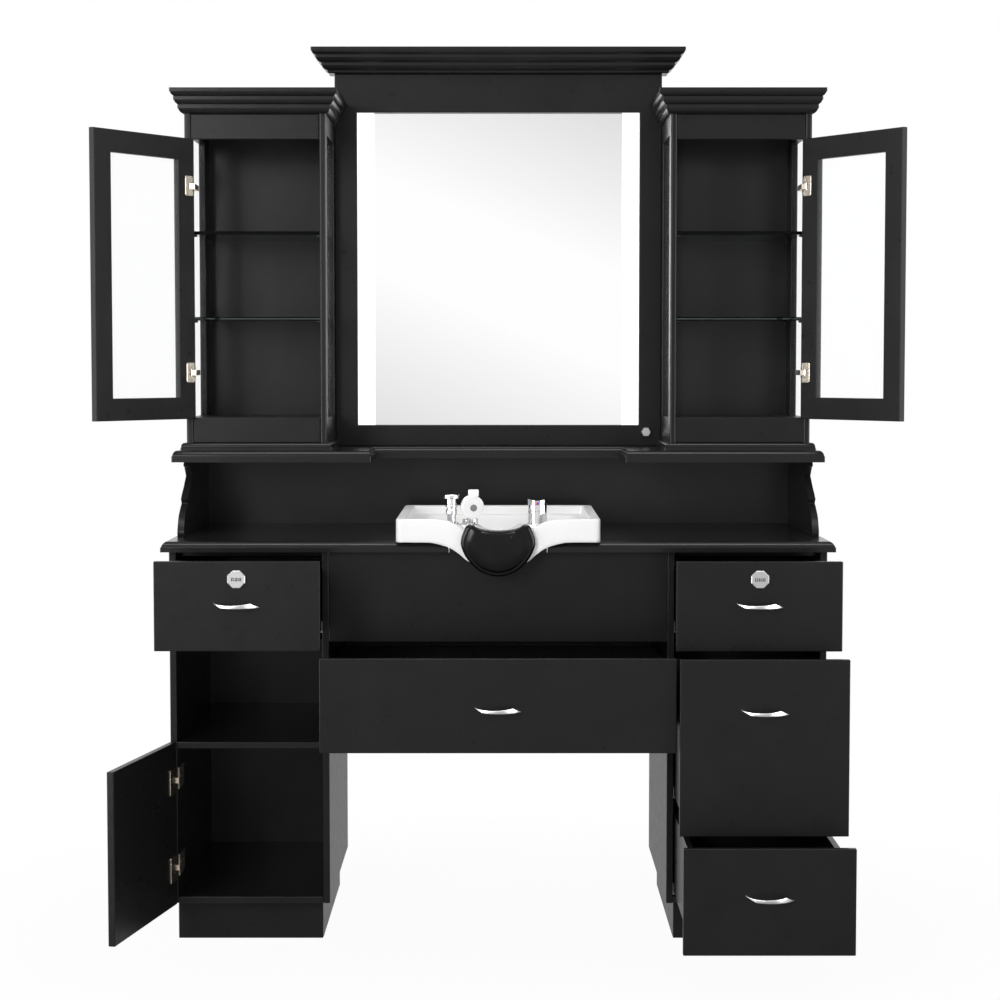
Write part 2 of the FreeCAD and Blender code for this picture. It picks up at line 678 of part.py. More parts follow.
def hinge_mounts():
    leaf_wall, door_wall = -CAB_OUT + BOARD, -DESK_HALF + BOARD
    glazed = [hinge_arm(LEAF_PIN, leaf_wall, z, 306.0, (262.0, STILE_FRONT), 24.0, 10.0) for z in LEAF_HINGES]
    low = [hinge_arm(DOOR_PIN, door_wall, z, 46.0, (14.0, 90.0), 48.0, 5.0) for z in DOOR_HINGES]
    return both(glazed) + low


# Bowl


def round_rect(x0, x1, y0, y1, z, r):
    """Closed wire: rectangle with rounded corners at height z."""
    c = r * (1.0 - math.sqrt(0.5))
    arcs = [
        (V(x0, y0 + r, z), V(x0 + c, y0 + c, z), V(x0 + r, y0, z)),
        (V(x1 - r, y0, z), V(x1 - c, y0 + c, z), V(x1, y0 + r, z)),
        (V(x1, y1 - r, z), V(x1 - c, y1 - c, z), V(x1 - r, y1, z)),
        (V(x0 + r, y1, z), V(x0 + c, y1 - c, z), V(x0, y1 - r, z)),
    ]
    edges = []
    for k, (a, m, b) in enumerate(arcs):
        edges.append(Part.Arc(a, m, b).toShape())
        edges.append(Part.makeLine(b, arcs[(k + 1) % 4][0]))
    return Part.Wire(edges)


def tub(top, bottom, r_top, r_bottom):
    """Tapering tub between two rounded rectangles given as x half, y0, y1, z."""
    wires = [
        round_rect(-top[0], top[0], top[1], top[2], top[3], r_top),
        round_rect(-bottom[0], bottom[0], bottom[1], bottom[2], bottom[3], r_bottom),
    ]
    return Part.makeLoft(wires, True, True)


def curve(points, y):
    """Smooth edge through (x, z) points at one y."""
    spline = Part.BSplineCurve()
    spline.interpolate([V(x, y, z) for x, z in points])
    return spline.toShape()


def mirror_points(points):
    """Points from the left end to the middle, continued to the right end."""
    return points + [(-x, z) for x, z in reversed(points[:-1])]


NECK_TOP = [(-150.0, 955.0), (-128.0, 953.5), (-105.0, 948.0), (-85.0, 938.0), (-72.0, 928.0), (-40.0, 921.0),
            (0.0, 919.0)]
SKIRT_LOW = [(-165.0, 903.0), (-140.0, 901.0), (-108.0, 891.5), (-85.0, 877.0), (-67.0, 862.0),
             (-36.0, 848.0), (0.0, 843.0)]


def neck_cut():
    """Space above the scooped front edge, from the front of the bowl to its ledge."""
    y = BOWL_Y[0] - 20.0
    points = mirror_points(NECK_TOP)
    lid = [V(points[-1][0], y, points[-1][1]), V(points[-1][0], y, 990), V(points[0][0], y, 990),
           V(points[0][0], y, points[0][1])]
    wire = Part.Wire([curve(points, y)] + [Part.makeLine(a, b) for a, b in zip(lid, lid[1:])])
    return Part.Face(wire).extrude(V(0, 20.0 + BOWL_WALL + 2.0, 0))


def skirt():
    """Front skirt that hangs in front of the counter edge below the neck."""
    y = BOWL_Y[0]
    points = mirror_points(SKIRT_LOW)
    lid = [V(points[-1][0], y, points[-1][1]), V(points[-1][0], y, 910), V(points[0][0], y, 910),
           V(points[0][0], y, points[0][1])]
    wire = Part.Wire([curve(points, y)] + [Part.makeLine(a, b) for a, b in zip(lid, lid[1:])])
    return Part.Face(wire).extrude(V(0, SKIRT_T, 0))


def basin():
    block = box(-BOWL_HALF, BOWL_HALF, BOWL_Y[0], BOWL_Y[1], COUNTER_TOP, BOWL_TOP)
    block = block.makeFillet(14.0, [e for e in block.Edges if is_upright(e)])
    under = tub((200.0, 78.0, 430.0, COUNTER_TOP), (125.0, 125.0, 355.0, BOWL_BOTTOM), 40.0, 40.0)
    body = joined(block, [under, skirt()])
    inset = BOWL_HALF - BOWL_WALL
    recess = tub((inset, BOWL_Y[0] + BOWL_WALL, BOWL_Y[1] - BOWL_WALL, BOWL_TOP + 1.0),
                 (inset - 3.0, BOWL_Y[0] + BOWL_WALL + 3.0, BOWL_Y[1] - BOWL_WALL - 3.0, LEDGE_Z), 18.0, 18.0)
    deep = tub((186.0, 95.0, 415.0, LEDGE_Z + 1.0), (110.0, 140.0, 340.0, BOWL_FLOOR), 40.0, 35.0)
    throat = Part.makeCylinder(70.0, 150.0, V(0, -40.0, 989.0), V(0, 1, 0))
    body = body.cut(recess).cut(deep).cut(neck_cut()).cut(throat)
    body = body.cut(rod(21.5, V(DRAIN[0], DRAIN[1], BOWL_BOTTOM), V(DRAIN[0], DRAIN[1], BOWL_FLOOR)))
    for x, r in ((BREAKER_X, 8.2), (SPRAY_X - 16.0, 6.2), (MIXER_X, 10.2)):
        body = body.cut(rod(r, V(x, TAP_Y, COUNTER_TOP), V(x, TAP_Y, LEDGE_Z)))
    return body


def drain_fitting():
    """Strainer flange with a tailpiece through the bowl, and its lock nut."""
    x, y = DRAIN
    flange = rod(30.0, V(x, y, BOWL_FLOOR), V(x, y, BOWL_FLOOR + 3.0))
    for k in range(6):
        a = k * math.pi / 3.0
        spot = V(x + 11.0 * math.cos(a), y + 11.0 * math.sin(a), BOWL_FLOOR - 12.0)
        flange = flange.cut(rod(3.5, spot, spot + V(0, 0, 16.0)))
    tail = rod(21.3, V(x, y, 735.0), V(x, y, BOWL_FLOOR)).cut(rod(19.0, V(x, y, 735.0), V(x, y, BOWL_FLOOR)))
    pipe = rod(21.3, V(x, y, 733.0), V(x, y, 737.0)).fuse(rod(16.0, V(x, y, 690.0), V(x, y, 735.0)))
    pipe = pipe.cut(rod(14.0, V(x, y, 689.0), V(x, y, 738.0)))
    nut = rod(32.0, V(x, y, 742.0), V(x, y, BOWL_BOTTOM)).cut(rod(21.3, V(x, y, 741.0), V(x, y, 761.0)))
    return [joined(flange, [tail, pipe]), nut]


def spun(profile, x, y):
    """Solid of revolution about a vertical axis from (radius, z) points."""
    corners = [V(x + r, y, z) for r, z in profile]
    face = Part.Face(Part.makePolygon(corners + corners[:1]))
    return face.revolve(V(x, y, 0), Z_AXIS, 360)


def vacuum_breaker():
    profile = [
        (0, 892), (8, 892), (8, 935), (15, 935), (15, 940), (10, 942), (10, 958), (12.5, 960), (12.5, 968),
        (11, 970), (11, 974), (13.5, 976), (13.5, 980), (12, 982), (12, 994), (18.5, 996), (18.5, 1002),
        (17, 1004), (0, 1004),
    ]
    return spun(profile, BREAKER_X, TAP_Y)


def mixer_body():
    """Fixed part of the tap: body with a socket for the collar, shank, lock nut and two inlet tails."""
    profile = [
        (0, 885), (10, 885), (10, 935), (24, 935), (24, 938), (21.5, 940), (21, 950), (21, 964),
        (20.5, 965.5), (15, 965.5), (15, 961.5), (0, 961.5),
    ]
    body = spun(profile, MIXER_X, TAP_Y)
    tails = [rod(4.0, V(MIXER_X + dx, TAP_Y, 835.0), V(MIXER_X + dx, TAP_Y, 886.0)) for dx in (-5.0, 5.0)]
    nut = rod(17.0, V(MIXER_X, TAP_Y, 893.0), V(MIXER_X, TAP_Y, COUNTER_TOP))
    nut = nut.cut(rod(10.0, V(MIXER_X, TAP_Y, 892.0), V(MIXER_X, TAP_Y, 904.0)))
    socket = rod(6.0 + RUN, V(MIXER_X, TAP_Y, 948.0), V(MIXER_X, TAP_Y, 962.0))
    return [joined(body, tails).cut(socket), nut]


def mixer_turret():
    """Turning collar on a spigot, with a tongue to the front that holds a cross pin for the lever cap."""
    y, z = MIXER_PIN
    collar = rod(14.0, V(MIXER_X, TAP_Y, 961.8), V(MIXER_X, TAP_Y, 965.6))
    spigot = rod(6.0, V(MIXER_X, TAP_Y, 948.4), V(MIXER_X, TAP_Y, 963.0))
    tongue = box(MIXER_X - 4.0, MIXER_X + 4.0, y - 3.0, TAP_Y, 965.0, z + 3.0)
    tongue = tongue.cut(box(MIXER_X - 5.0, MIXER_X + 5.0, y - 4.0, TAP_Y - 13.0, 964.0, 967.4))
    pin = rod(2.0, V(MIXER_X - 10.0, y, z), V(MIXER_X + 10.0, y, z))
    return joined(collar, [spigot, tongue, pin])


def mixer_lever():
    """Hollow cap on the cross pin: saddle-shaped top, blade to the back, front edge cut away to lift."""
    y, z = MIXER_PIN
    cap = spun([(0, 966.2), (21, 966.2), (21, 980), (22, 994), (0, 994)], MIXER_X, TAP_Y)
    saddle = Part.makeCylinder(60.0, 60.0, V(MIXER_X, TAP_Y - 30.0, 1050.5), V(0, 1, 0))
    blade = box(MIXER_X - 7.0, MIXER_X + 7.0, TAP_Y + 15.0, TAP_Y + 62.0, 979.0, 985.0)
    tips = [e for e in blade.Edges if is_upright(e) and e.CenterOfMass.y > TAP_Y + 60.0]
    blade = blade.makeFillet(5.0, tips)
    hollow = box(MIXER_X - 5.0, MIXER_X + 5.0, y - 4.2, TAP_Y + 2.0, 965.0, z + 5.0)
    bore = rod(2.0 + RUN, V(MIXER_X - 10.3, y, z), V(MIXER_X + 10.3, y, z))
    below = box(MIXER_X - 30.0, MIXER_X + 30.0, y - 30.0, y + 60.0, 940.0, 966.2)
    below.rotate(V(MIXER_X, y, z), V(1, 0, 0), -MIXER_LIFT)
    return joined(cap.cut(saddle), [blade]).cut(hollow).cut(bore).cut(below)


def spray_holder():
    """Post on the ledge with an arm and a split ring that holds the spray's handle."""
    x = SPRAY_X - 16.0
    post = spun([(0, 893), (6, 893), (6, 935), (12, 935), (12, 937), (6, 939), (6, 948), (0, 948)], x, TAP_Y)
    arm = box(x, SPRAY_X, TAP_Y - 5.0, TAP_Y + 5.0, 940.0, 948.0)
    ring = rod(13.0, V(SPRAY_X, TAP_Y, 938.0), V(SPRAY_X, TAP_Y, 949.0))
    holder = joined(post, [arm, ring])
    return holder.cut(rod(9.0 + 0.4, V(SPRAY_X, TAP_Y, 937.0), V(SPRAY_X, TAP_Y, 950.0)))


def spray_head():
    """Hand spray: handle tube, round head that faces the front, and a lever tab on top."""
    handle = rod(9.0, V(SPRAY_X, TAP_Y, 937.5), V(SPRAY_X, TAP_Y, 968.0))
    aim = V(0.2, -1.0, -0.12)
    aim.normalize()
    centre = V(SPRAY_X, TAP_Y - 6.0, 977.0)
    head = rod(25.5, centre - aim * 8.0, centre + aim * 9.0)
    rim = [e for e in head.Edges if e.Closed]
    head = head.makeFillet(2.5, rim)
    nozzle = rod(8.0, centre + aim * 6.0 + V(2.0, 0, -2.0), centre + aim * 12.0 + V(2.0, 0, -2.0))
    tab = eased(SPRAY_X - 9.0, SPRAY_X + 15.0, TAP_Y - 14.0, TAP_Y + 2.0, 999.0, 1015.0, 3.0)
    return joined(head.cut(nozzle), [handle, tab])


PAD_SIDE = [(-56.0, 943.5), (-64.0, 943.0), (-72.0, 936.5), (-82.0, 907.0), (-76.0, 882.0), (-60.0, 858.0),
            (-36.0, 838.5), (0.0, 829.0)]
PAD_TOP = [(-56.0, 943.5), (-44.0, 936.0), (-24.0, 932.0), (0.0, 930.5)]


def pad_wire(y, scale):
    """Shield outline of the neck rest, drawn in towards its middle."""
    middle = 888.0

    def drawn(points):
        return [(x * scale, middle + (z - middle) * scale) for x, z in mirror_points(points)]

    return Part.Wire([curve(drawn(PAD_SIDE), y), curve(drawn(PAD_TOP), y)])


def neck_rest():
    """Crowned shield: full outline on the bowl, drawn in towards the front."""
    steps = ((0.0, 0.97), (6.0, 1.0), (14.0, 1.0), (20.0, 0.95), (PAD_T, 0.84))
    return Part.makeLoft([pad_wire(PAD_BACK - out, scale) for out, scale in steps], True, True)


os.makedirs("parts", exist_ok=True)

save("pedestal_sides", pedestal_sides())
save("pedestal_decks", pedestal_decks())
save("desk_back_panels", desk_back_panels())
save("centre_apron", [eased(-KNEE_HALF, KNEE_HALF, 0, BOARD, APRON_Z, UNDER)])
save("plinth_boards", plinth_boards())
save("countertop", [countertop()])
save("runner_channels", runner_channels())
save("basin", [basin()])
save("neck_rest", [neck_rest()])
save("drain_fitting", drain_fitting())
save("vacuum_breaker", [vacuum_breaker()])
save("mixer_body", mixer_body())
save("mixer_turret", [mixer_turret()])
save("mixer_lever", [mixer_lever()])
save("spray_holder", [spray_holder()])
save("spray_head", [spray_head()])
save("hutch_brackets", hutch_brackets())
save("hutch_shelf", hutch_shelf())
save("hutch_back_boards", hutch_back_boards())
save("cabinet_sides", cabinet_sides())
save("cabinet_crosspieces", cabinet_crosspieces())
save("cabinet_glass", cabinet_panes() + glass_shelves())
save("shelf_pins", shelf_pins())
save("cornices", cornices())
save("mirror_frame", mirror_frame())
save("mirror_glass", [mirror_glass()])
save("mirror_lights", mirror_lights())
save("light_button", [light_button()])
save("hinge_mounts", hinge_mounts())

swing = {"frame": leaf_frame(), "pane": [leaf_pane()], "hinges": leaf_hinges()}
for suffix, solids in swing.items():
    save("left_glass_door_" + suffix, turned(solids, LEAF_PIN, -LEAF_OPEN))
    save("right_glass_door_" + suffix, mirrored(turned(solids, LEAF_PIN, -LEAF_OPEN)))

save("lower_door", turned([lower_door()], DOOR_PIN, -DOOR_OPEN))
save("lower_door_hinges", turned(lower_door_hinges(), DOOR_PIN, -DOOR_OPEN))
save_drawers()
print("origin shift", SHIFT)
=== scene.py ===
# %% [markdown]
# # A shampoo station, dressed in Blender
# The station is a barber's desk with a ceramic shampoo bowl, five drawers, a swing door and a hutch
# with a lit mirror between two glazed cabinets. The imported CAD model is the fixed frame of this
# lesson: every new surface is worked out in its coordinates, so nothing has to be fitted by eye.

# %% Load the frame
import json
import math

import bmesh
import bpy
import numpy as np
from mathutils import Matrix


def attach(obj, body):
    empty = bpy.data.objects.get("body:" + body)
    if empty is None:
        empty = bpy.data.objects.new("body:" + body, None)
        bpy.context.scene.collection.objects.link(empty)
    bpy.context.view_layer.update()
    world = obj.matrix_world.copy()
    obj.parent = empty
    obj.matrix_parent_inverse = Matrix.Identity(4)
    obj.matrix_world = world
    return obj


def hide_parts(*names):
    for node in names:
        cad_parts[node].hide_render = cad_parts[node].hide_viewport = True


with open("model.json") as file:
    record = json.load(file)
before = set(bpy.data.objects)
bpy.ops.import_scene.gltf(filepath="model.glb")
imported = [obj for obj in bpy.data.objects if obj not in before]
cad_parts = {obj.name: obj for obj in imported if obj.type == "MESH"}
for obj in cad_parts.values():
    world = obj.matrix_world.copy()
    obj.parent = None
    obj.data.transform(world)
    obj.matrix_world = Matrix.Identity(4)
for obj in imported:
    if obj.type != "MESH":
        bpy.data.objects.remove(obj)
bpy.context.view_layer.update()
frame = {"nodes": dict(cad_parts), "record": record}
nodes = frame["nodes"]

# %% [markdown]
# ## Camera
# The picture is a straight view from the front, a little above the desk and tipped down by three
# degrees. The vertical edges hardly converge, so a long lens from five metres gives the same
# perspective. The tip follows from the horizon, which lies above the picture's middle by a known
# part of the focal length.

# %% Camera
CAMERA_PLACE = (0.0042, -4.9615, 1.288)
LENS_MM, SENSOR_MM = 80.0, 36.0
HORIZON_PIXELS, FOCAL_PIXELS = 133.0, 2222.0
CAMERA_TIP = math.atan(HORIZON_PIXELS / FOCAL_PIXELS)

lens = bpy.data.cameras.new("front_camera")
lens.lens = LENS_MM
lens.sensor_width = SENSOR_MM
camera = bpy.data.objects.new("front_camera", lens)
camera.location = CAMERA_PLACE
camera.rotation_euler = (math.pi / 2.0 - CAMERA_TIP, 0.0, 0.0)
bpy.context.scene.collection.objects.link(camera)
bpy.context.scene.camera = camera
bpy.context.scene.view_settings.view_transform = "Standard"
print("camera tipped down by", round(math.degrees(CAMERA_TIP), 2), "degrees")

# %% [markdown]
# ## Node helpers
# A finish is a small graph of nodes that ends in one Principled shader. These helpers keep each
# finish short: one makes the shader with its constant values set on its own sockets, the others add
# a noise, a ramp or a bump.


# %% Node helpers
def finish_graph(name, **sockets):
    """New material with a Principled shader; constants go straight onto its own sockets."""
    material = bpy.data.materials.new(name)
    material.use_nodes = True
    tree = material.node_tree
    tree.nodes.clear()
    shader = tree.nodes.new("ShaderNodeBsdfPrincipled")
    output = tree.nodes.new("ShaderNodeOutputMaterial")
    tree.links.new(shader.outputs["BSDF"], output.inputs["Surface"])
    for socket, value in sockets.items():
        shader.inputs[socket.replace("_", " ")].default_value = value
    return material, tree, shader


def place(tree, scale=(1.0, 1.0, 1.0), turn=(0.0, 0.0, 0.0), move=(0.0, 0.0, 0.0)):
    """Object coordinates, moved, turned and stretched by a Mapping node."""
    where = tree.nodes.new("ShaderNodeTexCoord")
    mapping = tree.nodes.new("ShaderNodeMapping")
    mapping.inputs["Location"].default_value = move
    mapping.inputs["Rotation"].default_value = turn
    mapping.inputs["Scale"].default_value = scale
    tree.links.new(where.outputs["Object"], mapping.inputs["Vector"])
    return mapping.outputs["Vector"]


def noise(tree, where, scale, detail=3.0, rough=0.5):
    """Fractal noise value in 0..1 at a place."""
    node = tree.nodes.new("ShaderNodeTexNoise")
    node.inputs["Scale"].default_value = scale
    node.inputs["Detail"].default_value = detail
    node.inputs["Roughness"].default_value = rough
    tree.links.new(where, node.inputs["Vector"])
    return node.outputs["Fac"]


def cells(tree, where, scale, output="Distance"):
    """Voronoi cells: the distance to the nearest cell's middle, or the cell's random colour."""
    node = tree.nodes.new("ShaderNodeTexVoronoi")
    node.inputs["Scale"].default_value = scale
    tree.links.new(where, node.inputs["Vector"])
    return node.outputs[output]


def between(tree, factor, low, high, start=0.3, end=0.7):
    """A number or a colour that runs from low to high as the factor runs from start to end."""
    if isinstance(low, tuple):
        ramp = tree.nodes.new("ShaderNodeValToRGB")
        ramp.color_ramp.elements[0].position = start
        ramp.color_ramp.elements[0].color = (*low, 1.0)
        ramp.color_ramp.elements[1].position = end
        ramp.color_ramp.elements[1].color = (*high, 1.0)
        tree.links.new(factor, ramp.inputs["Fac"])
        return ramp.outputs["Color"]
    span = tree.nodes.new("ShaderNodeMapRange")
    span.inputs["From Min"].default_value = start
    span.inputs["From Max"].default_value = end
    span.inputs["To Min"].default_value = low
    span.inputs["To Max"].default_value = high
    tree.links.new(factor, span.inputs["Value"])
    return span.outputs["Result"]


def bumped(tree, shader, height, distance, strength):
    """Bump of a height in 0..1 times a distance in metres, on the shader's normal."""
    bump = tree.nodes.new("ShaderNodeBump")
    bump.inputs["Distance"].default_value = distance
    bump.inputs["Strength"].default_value = strength
    tree.links.new(height, bump.inputs["Height"])
    tree.links.new(bump.outputs["Normal"], shader.inputs["Normal"])


def wear(node, material):
    """Give a frame node, or a new piece, its finish."""
    obj = nodes[node] if isinstance(node, str) else node
    obj.data.materials.clear()
    obj.data.materials.append(material)


# %% [markdown]
# ## Black boards
# The boards are sprayed with black lacquer. Close up, sprayed lacquer has a faint orange-peel
# surface and a slightly uneven sheen; from afar it is a soft black that picks up the white room at
# grazing angles. Fronts and sides are satin. Tops, decks, the hutch shelf and the cornices are
# rubbed smoother, and the back panels are smooth, with a paler black that is painted light, so
# three finishes come from one function.


# %% Black lacquer
def black_lacquer(name, low, high, sheen, rough):
    """Near-black colour with a slow mottle, a drifting roughness and a fine orange-peel bump."""
    material, tree, shader = finish_graph(name, Specular_IOR_Level=sheen, IOR=1.5)
    where = place(tree)
    mottle = noise(tree, where, scale=9.0, detail=4.0)
    tree.links.new(between(tree, mottle, low, high), shader.inputs["Base Color"])
    drift = noise(tree, where, scale=40.0, detail=4.0)
    tree.links.new(between(tree, drift, rough * 0.9, rough * 1.1), shader.inputs["Roughness"])
    peel = noise(tree, where, scale=400.0, detail=2.0)
    bumped(tree, shader, peel, distance=0.00001, strength=0.2)
    return material


BLACK = (0.0099, 0.0099, 0.0101), (0.0122, 0.0122, 0.0124)
# The back panels' paler black is painted light on the recessed panels.
PANEL_BLACK_PAINTED_LIGHT = (0.0175, 0.0175, 0.0177), (0.0215, 0.0215, 0.0217)
LACQUER = black_lacquer("black_lacquer", *BLACK, sheen=0.13, rough=0.30)
RUBBED_LACQUER = black_lacquer("rubbed_lacquer", *BLACK, sheen=0.19, rough=0.20)
PANEL_LACQUER_PAINTED_LIGHT = black_lacquer("panel_lacquer_painted_light", *PANEL_BLACK_PAINTED_LIGHT, sheen=0.165, rough=0.20)
BOARDS = [n for n in nodes if n.endswith(("_boards", "_door", "door_frame"))] + [
    "pedestal_sides", "pedestal_decks", "desk_back_panels", "centre_apron", "countertop",
    "hutch_brackets", "hutch_shelf", "cabinet_sides", "cabinet_crosspieces", "cornices",
    "mirror_frame",
]
for board in BOARDS:
    wear(board, LACQUER)
for moulded in ("countertop", "pedestal_decks", "hutch_shelf", "cornices"):
    wear(moulded, RUBBED_LACQUER)
for panel in ("desk_back_panels", "hutch_back_boards"):
    wear(panel, PANEL_LACQUER_PAINTED_LIGHT)
print("lacquered nodes:", len(BOARDS))

# %% [markdown]
# ## Metals
# The tap and the vacuum breaker are polished chrome, the handles and locks are brushed silver, the
# dials are a dark metal that is painted shade for the slots round their wheels, the hinges have a
# champagne tint and the runners are zinc plated. Brushing is a noise stretched along one direction;
# zinc shows a patchwork of crystals, which a Voronoi pattern gives.


# %% Metals
SCRATCH_SCALE = (25.0, 1000.0, 1000.0)


def polished_chrome():
    """Bright metal with a slow change of sharpness, as from wiping."""
    material, tree, shader = finish_graph("polished_chrome", Metallic=1.0)
    wipe = noise(tree, place(tree), scale=90.0, detail=4.0)
    tone = between(tree, wipe, (0.62, 0.62, 0.64), (0.70, 0.70, 0.71))
    tree.links.new(tone, shader.inputs["Base Color"])
    tree.links.new(between(tree, wipe, 0.03, 0.07), shader.inputs["Roughness"])
    return material


def brushed_metal(name, low, high, rough):
    """Metal with fine scratches along X: noise forty times longer in X than across."""
    material, tree, shader = finish_graph(name, Metallic=1.0)
    scratches = noise(tree, place(tree, SCRATCH_SCALE), scale=1.0, detail=3.0, rough=0.6)
    tree.links.new(between(tree, scratches, low, high), shader.inputs["Base Color"])
    tree.links.new(between(tree, scratches, rough * 1.2, rough * 0.85), shader.inputs["Roughness"])
    bumped(tree, shader, scratches, distance=0.00002, strength=0.3)
    return material


def zinc_plate():
    """Cool grey metal with small crystals of slightly different brightness."""
    material, tree, shader = finish_graph("zinc_plate", Metallic=1.0)
    crystals = cells(tree, place(tree), scale=160.0, output="Color")
    tone = between(tree, crystals, (0.42, 0.43, 0.45), (0.58, 0.59, 0.60), 0.1, 0.9)
    tree.links.new(tone, shader.inputs["Base Color"])
    tree.links.new(between(tree, crystals, 0.30, 0.42, 0.1, 0.9), shader.inputs["Roughness"])
    return material


CHROME = polished_chrome()
SATIN = brushed_metal("brushed_silver", (0.46, 0.46, 0.47), (0.54, 0.54, 0.54), 0.32)
LOCK_METAL = brushed_metal("lock_silver", (0.40, 0.40, 0.41), (0.50, 0.50, 0.50), 0.30)
# The dials' dark colour is painted shade for the slots round their wheels.
DIAL_METAL_PAINTED_SHADE = brushed_metal("dial_painted_shade", (0.05, 0.05, 0.05), (0.09, 0.09, 0.09), 0.35)
CHAMPAGNE = brushed_metal("champagne_nickel", (0.74, 0.65, 0.53), (0.86, 0.78, 0.66), 0.25)
ZINC = zinc_plate()
METALS = {"chrome": CHROME, "satin_metal": SATIN, "nickel": CHAMPAGNE, "zinc": ZINC}
for entry in frame["record"]["subparts"]:
    if entry["material_slot"] in METALS:
        wear(entry["node"], METALS[entry["material_slot"]])
for lock in (n for n in nodes if "_lock" in n):
    wear(lock, DIAL_METAL_PAINTED_SHADE if "_dial_" in lock else LOCK_METAL)
print("metals:", sorted(METALS))

# %% [markdown]
# ## Glass, mirror and light
# The panes are thin clear glass, so a little of a plain shader over a see-through one is enough and
# nothing bends behind it. The shelves are thick and smoky, so they get real refraction, a dark
# green tint and a weak gloss face on. The mirror is bare silver with a painted sheen: its colour is
# brightest along a slanting band. The strips beside it are opal covers that glow evenly.


# %% Glass, mirror and light
PAINTED_SHEEN_SLANT, PAINTED_SHEEN_MIDDLE, PAINTED_SHEEN_FADE = -0.387, 1.406, 0.45
SMOKE = (0.15, 0.17, 0.16, 1.0)
PANE_TINT = (0.92, 0.96, 0.95, 1.0)
WHITE = (1.0, 1.0, 1.0, 1.0)


def thin_glass():
    """Clear pane: mostly see-through, with a faint green-grey and slow smears in its sharpness."""
    material, tree, shader = finish_graph("thin_glass", Base_Color=PANE_TINT, Alpha=0.04, IOR=1.45)
    smear = noise(tree, place(tree), scale=14.0, detail=3.0)
    tree.links.new(between(tree, smear, 0.02, 0.06), shader.inputs["Roughness"])
    return material


def thick_glass():
    """Solid smoky glass with a green tint that varies a little along the polished edges."""
    material, tree, shader = finish_graph(
        "thick_glass", Transmission_Weight=1.0, IOR=1.5, Specular_Tint=SMOKE)
    tint = noise(tree, place(tree), scale=20.0, detail=2.0)
    colour = between(tree, tint, (0.10, 0.13, 0.12), (0.16, 0.19, 0.18))
    tree.links.new(colour, shader.inputs["Base Color"])
    tree.links.new(between(tree, tint, 0.005, 0.02), shader.inputs["Roughness"])
    return material


def silvered_mirror():
    """Silver with a painted sheen: brightest along a slanting band, slightly greyer towards two
    corners.
    """
    material, tree, shader = finish_graph("silvered_mirror", Metallic=1.0, Roughness=0.004)
    split = tree.nodes.new("ShaderNodeSeparateXYZ")
    tree.links.new(place(tree, turn=(0.0, PAINTED_SHEEN_SLANT, 0.0)), split.inputs["Vector"])
    start, end = PAINTED_SHEEN_MIDDLE - PAINTED_SHEEN_FADE, PAINTED_SHEEN_MIDDLE + PAINTED_SHEEN_FADE
    # The bright slanting band is a painted sheen in the silver's colour.
    painted_sheen = between(tree, split.outputs["Z"], 0.0, 1.0, start, end)
    colour = between(tree, painted_sheen, (0.76, 0.76, 0.765), (0.75, 0.75, 0.755), 0.0, 1.0)
    for position in (0.38, 0.62):
        colour.node.color_ramp.elements.new(position).color = (0.99, 0.99, 0.99, 1.0)
    tree.links.new(colour, shader.inputs["Base Color"])
    return material


def opal_cover():
    """Glowing opal plastic."""
    material, tree, shader = finish_graph("opal_cover", Emission_Color=WHITE, Emission_Strength=1.0)
    grain = noise(tree, place(tree), scale=300.0, detail=2.0)
    tone = between(tree, grain, (0.90, 0.90, 0.89), (0.95, 0.95, 0.95))
    tree.links.new(tone, shader.inputs["Base Color"])
    tree.links.new(between(tree, grain, 0.35, 0.45), shader.inputs["Roughness"])
    return material


PANE = thin_glass()
SHELF_GLASS = thick_glass()
for pane in ("left_glass_door_pane", "right_glass_door_pane"):
    wear(pane, PANE)
wear("mirror_glass", silvered_mirror())
wear("mirror_lights", opal_cover())
print("glass, mirror and light: panes, shelves, mirror and opal covers")

# %% [markdown]
# ## Ceramic, rubber and plastic
# Glazed ceramic is white with slow waves in a softly glossy skin. The neck rest is moulded rubber
# with a fine pebbled grain. The hand spray and the digits on the locks are white plastic, and the
# shelf pins are black.


# %% Ceramic, rubber and plastic
def glazed_ceramic():
    """White glaze with slow waves in its surface."""
    material, tree, shader = finish_graph("glazed_ceramic", Specular_IOR_Level=0.15, IOR=1.5)
    where = place(tree)
    tone = noise(tree, where, scale=12.0, detail=2.0)
    colour = between(tree, tone, (0.87, 0.87, 0.865), (0.90, 0.90, 0.90))
    tree.links.new(colour, shader.inputs["Base Color"])
    tree.links.new(between(tree, tone, 0.28, 0.34), shader.inputs["Roughness"])
    waves = noise(tree, where, scale=45.0, detail=2.0)
    bumped(tree, shader, waves, distance=0.00008, strength=0.25)
    return material


def pebbled_rubber():
    """Black rubber: Voronoi pebbles under a millimetre wide, and slow patches of sharper gloss."""
    material, tree, shader = finish_graph("pebbled_rubber", Specular_IOR_Level=0.16)
    where = place(tree)
    pebbles = cells(tree, where, scale=1400.0)
    patches = noise(tree, where, scale=30.0, detail=3.0)
    colour = between(tree, patches, (0.0035, 0.0035, 0.0035), (0.0050, 0.0050, 0.0050))
    tree.links.new(colour, shader.inputs["Base Color"])
    tree.links.new(between(tree, patches, 0.13, 0.18), shader.inputs["Roughness"])
    bumped(tree, shader, pebbles, distance=0.00003, strength=0.25)
    return material


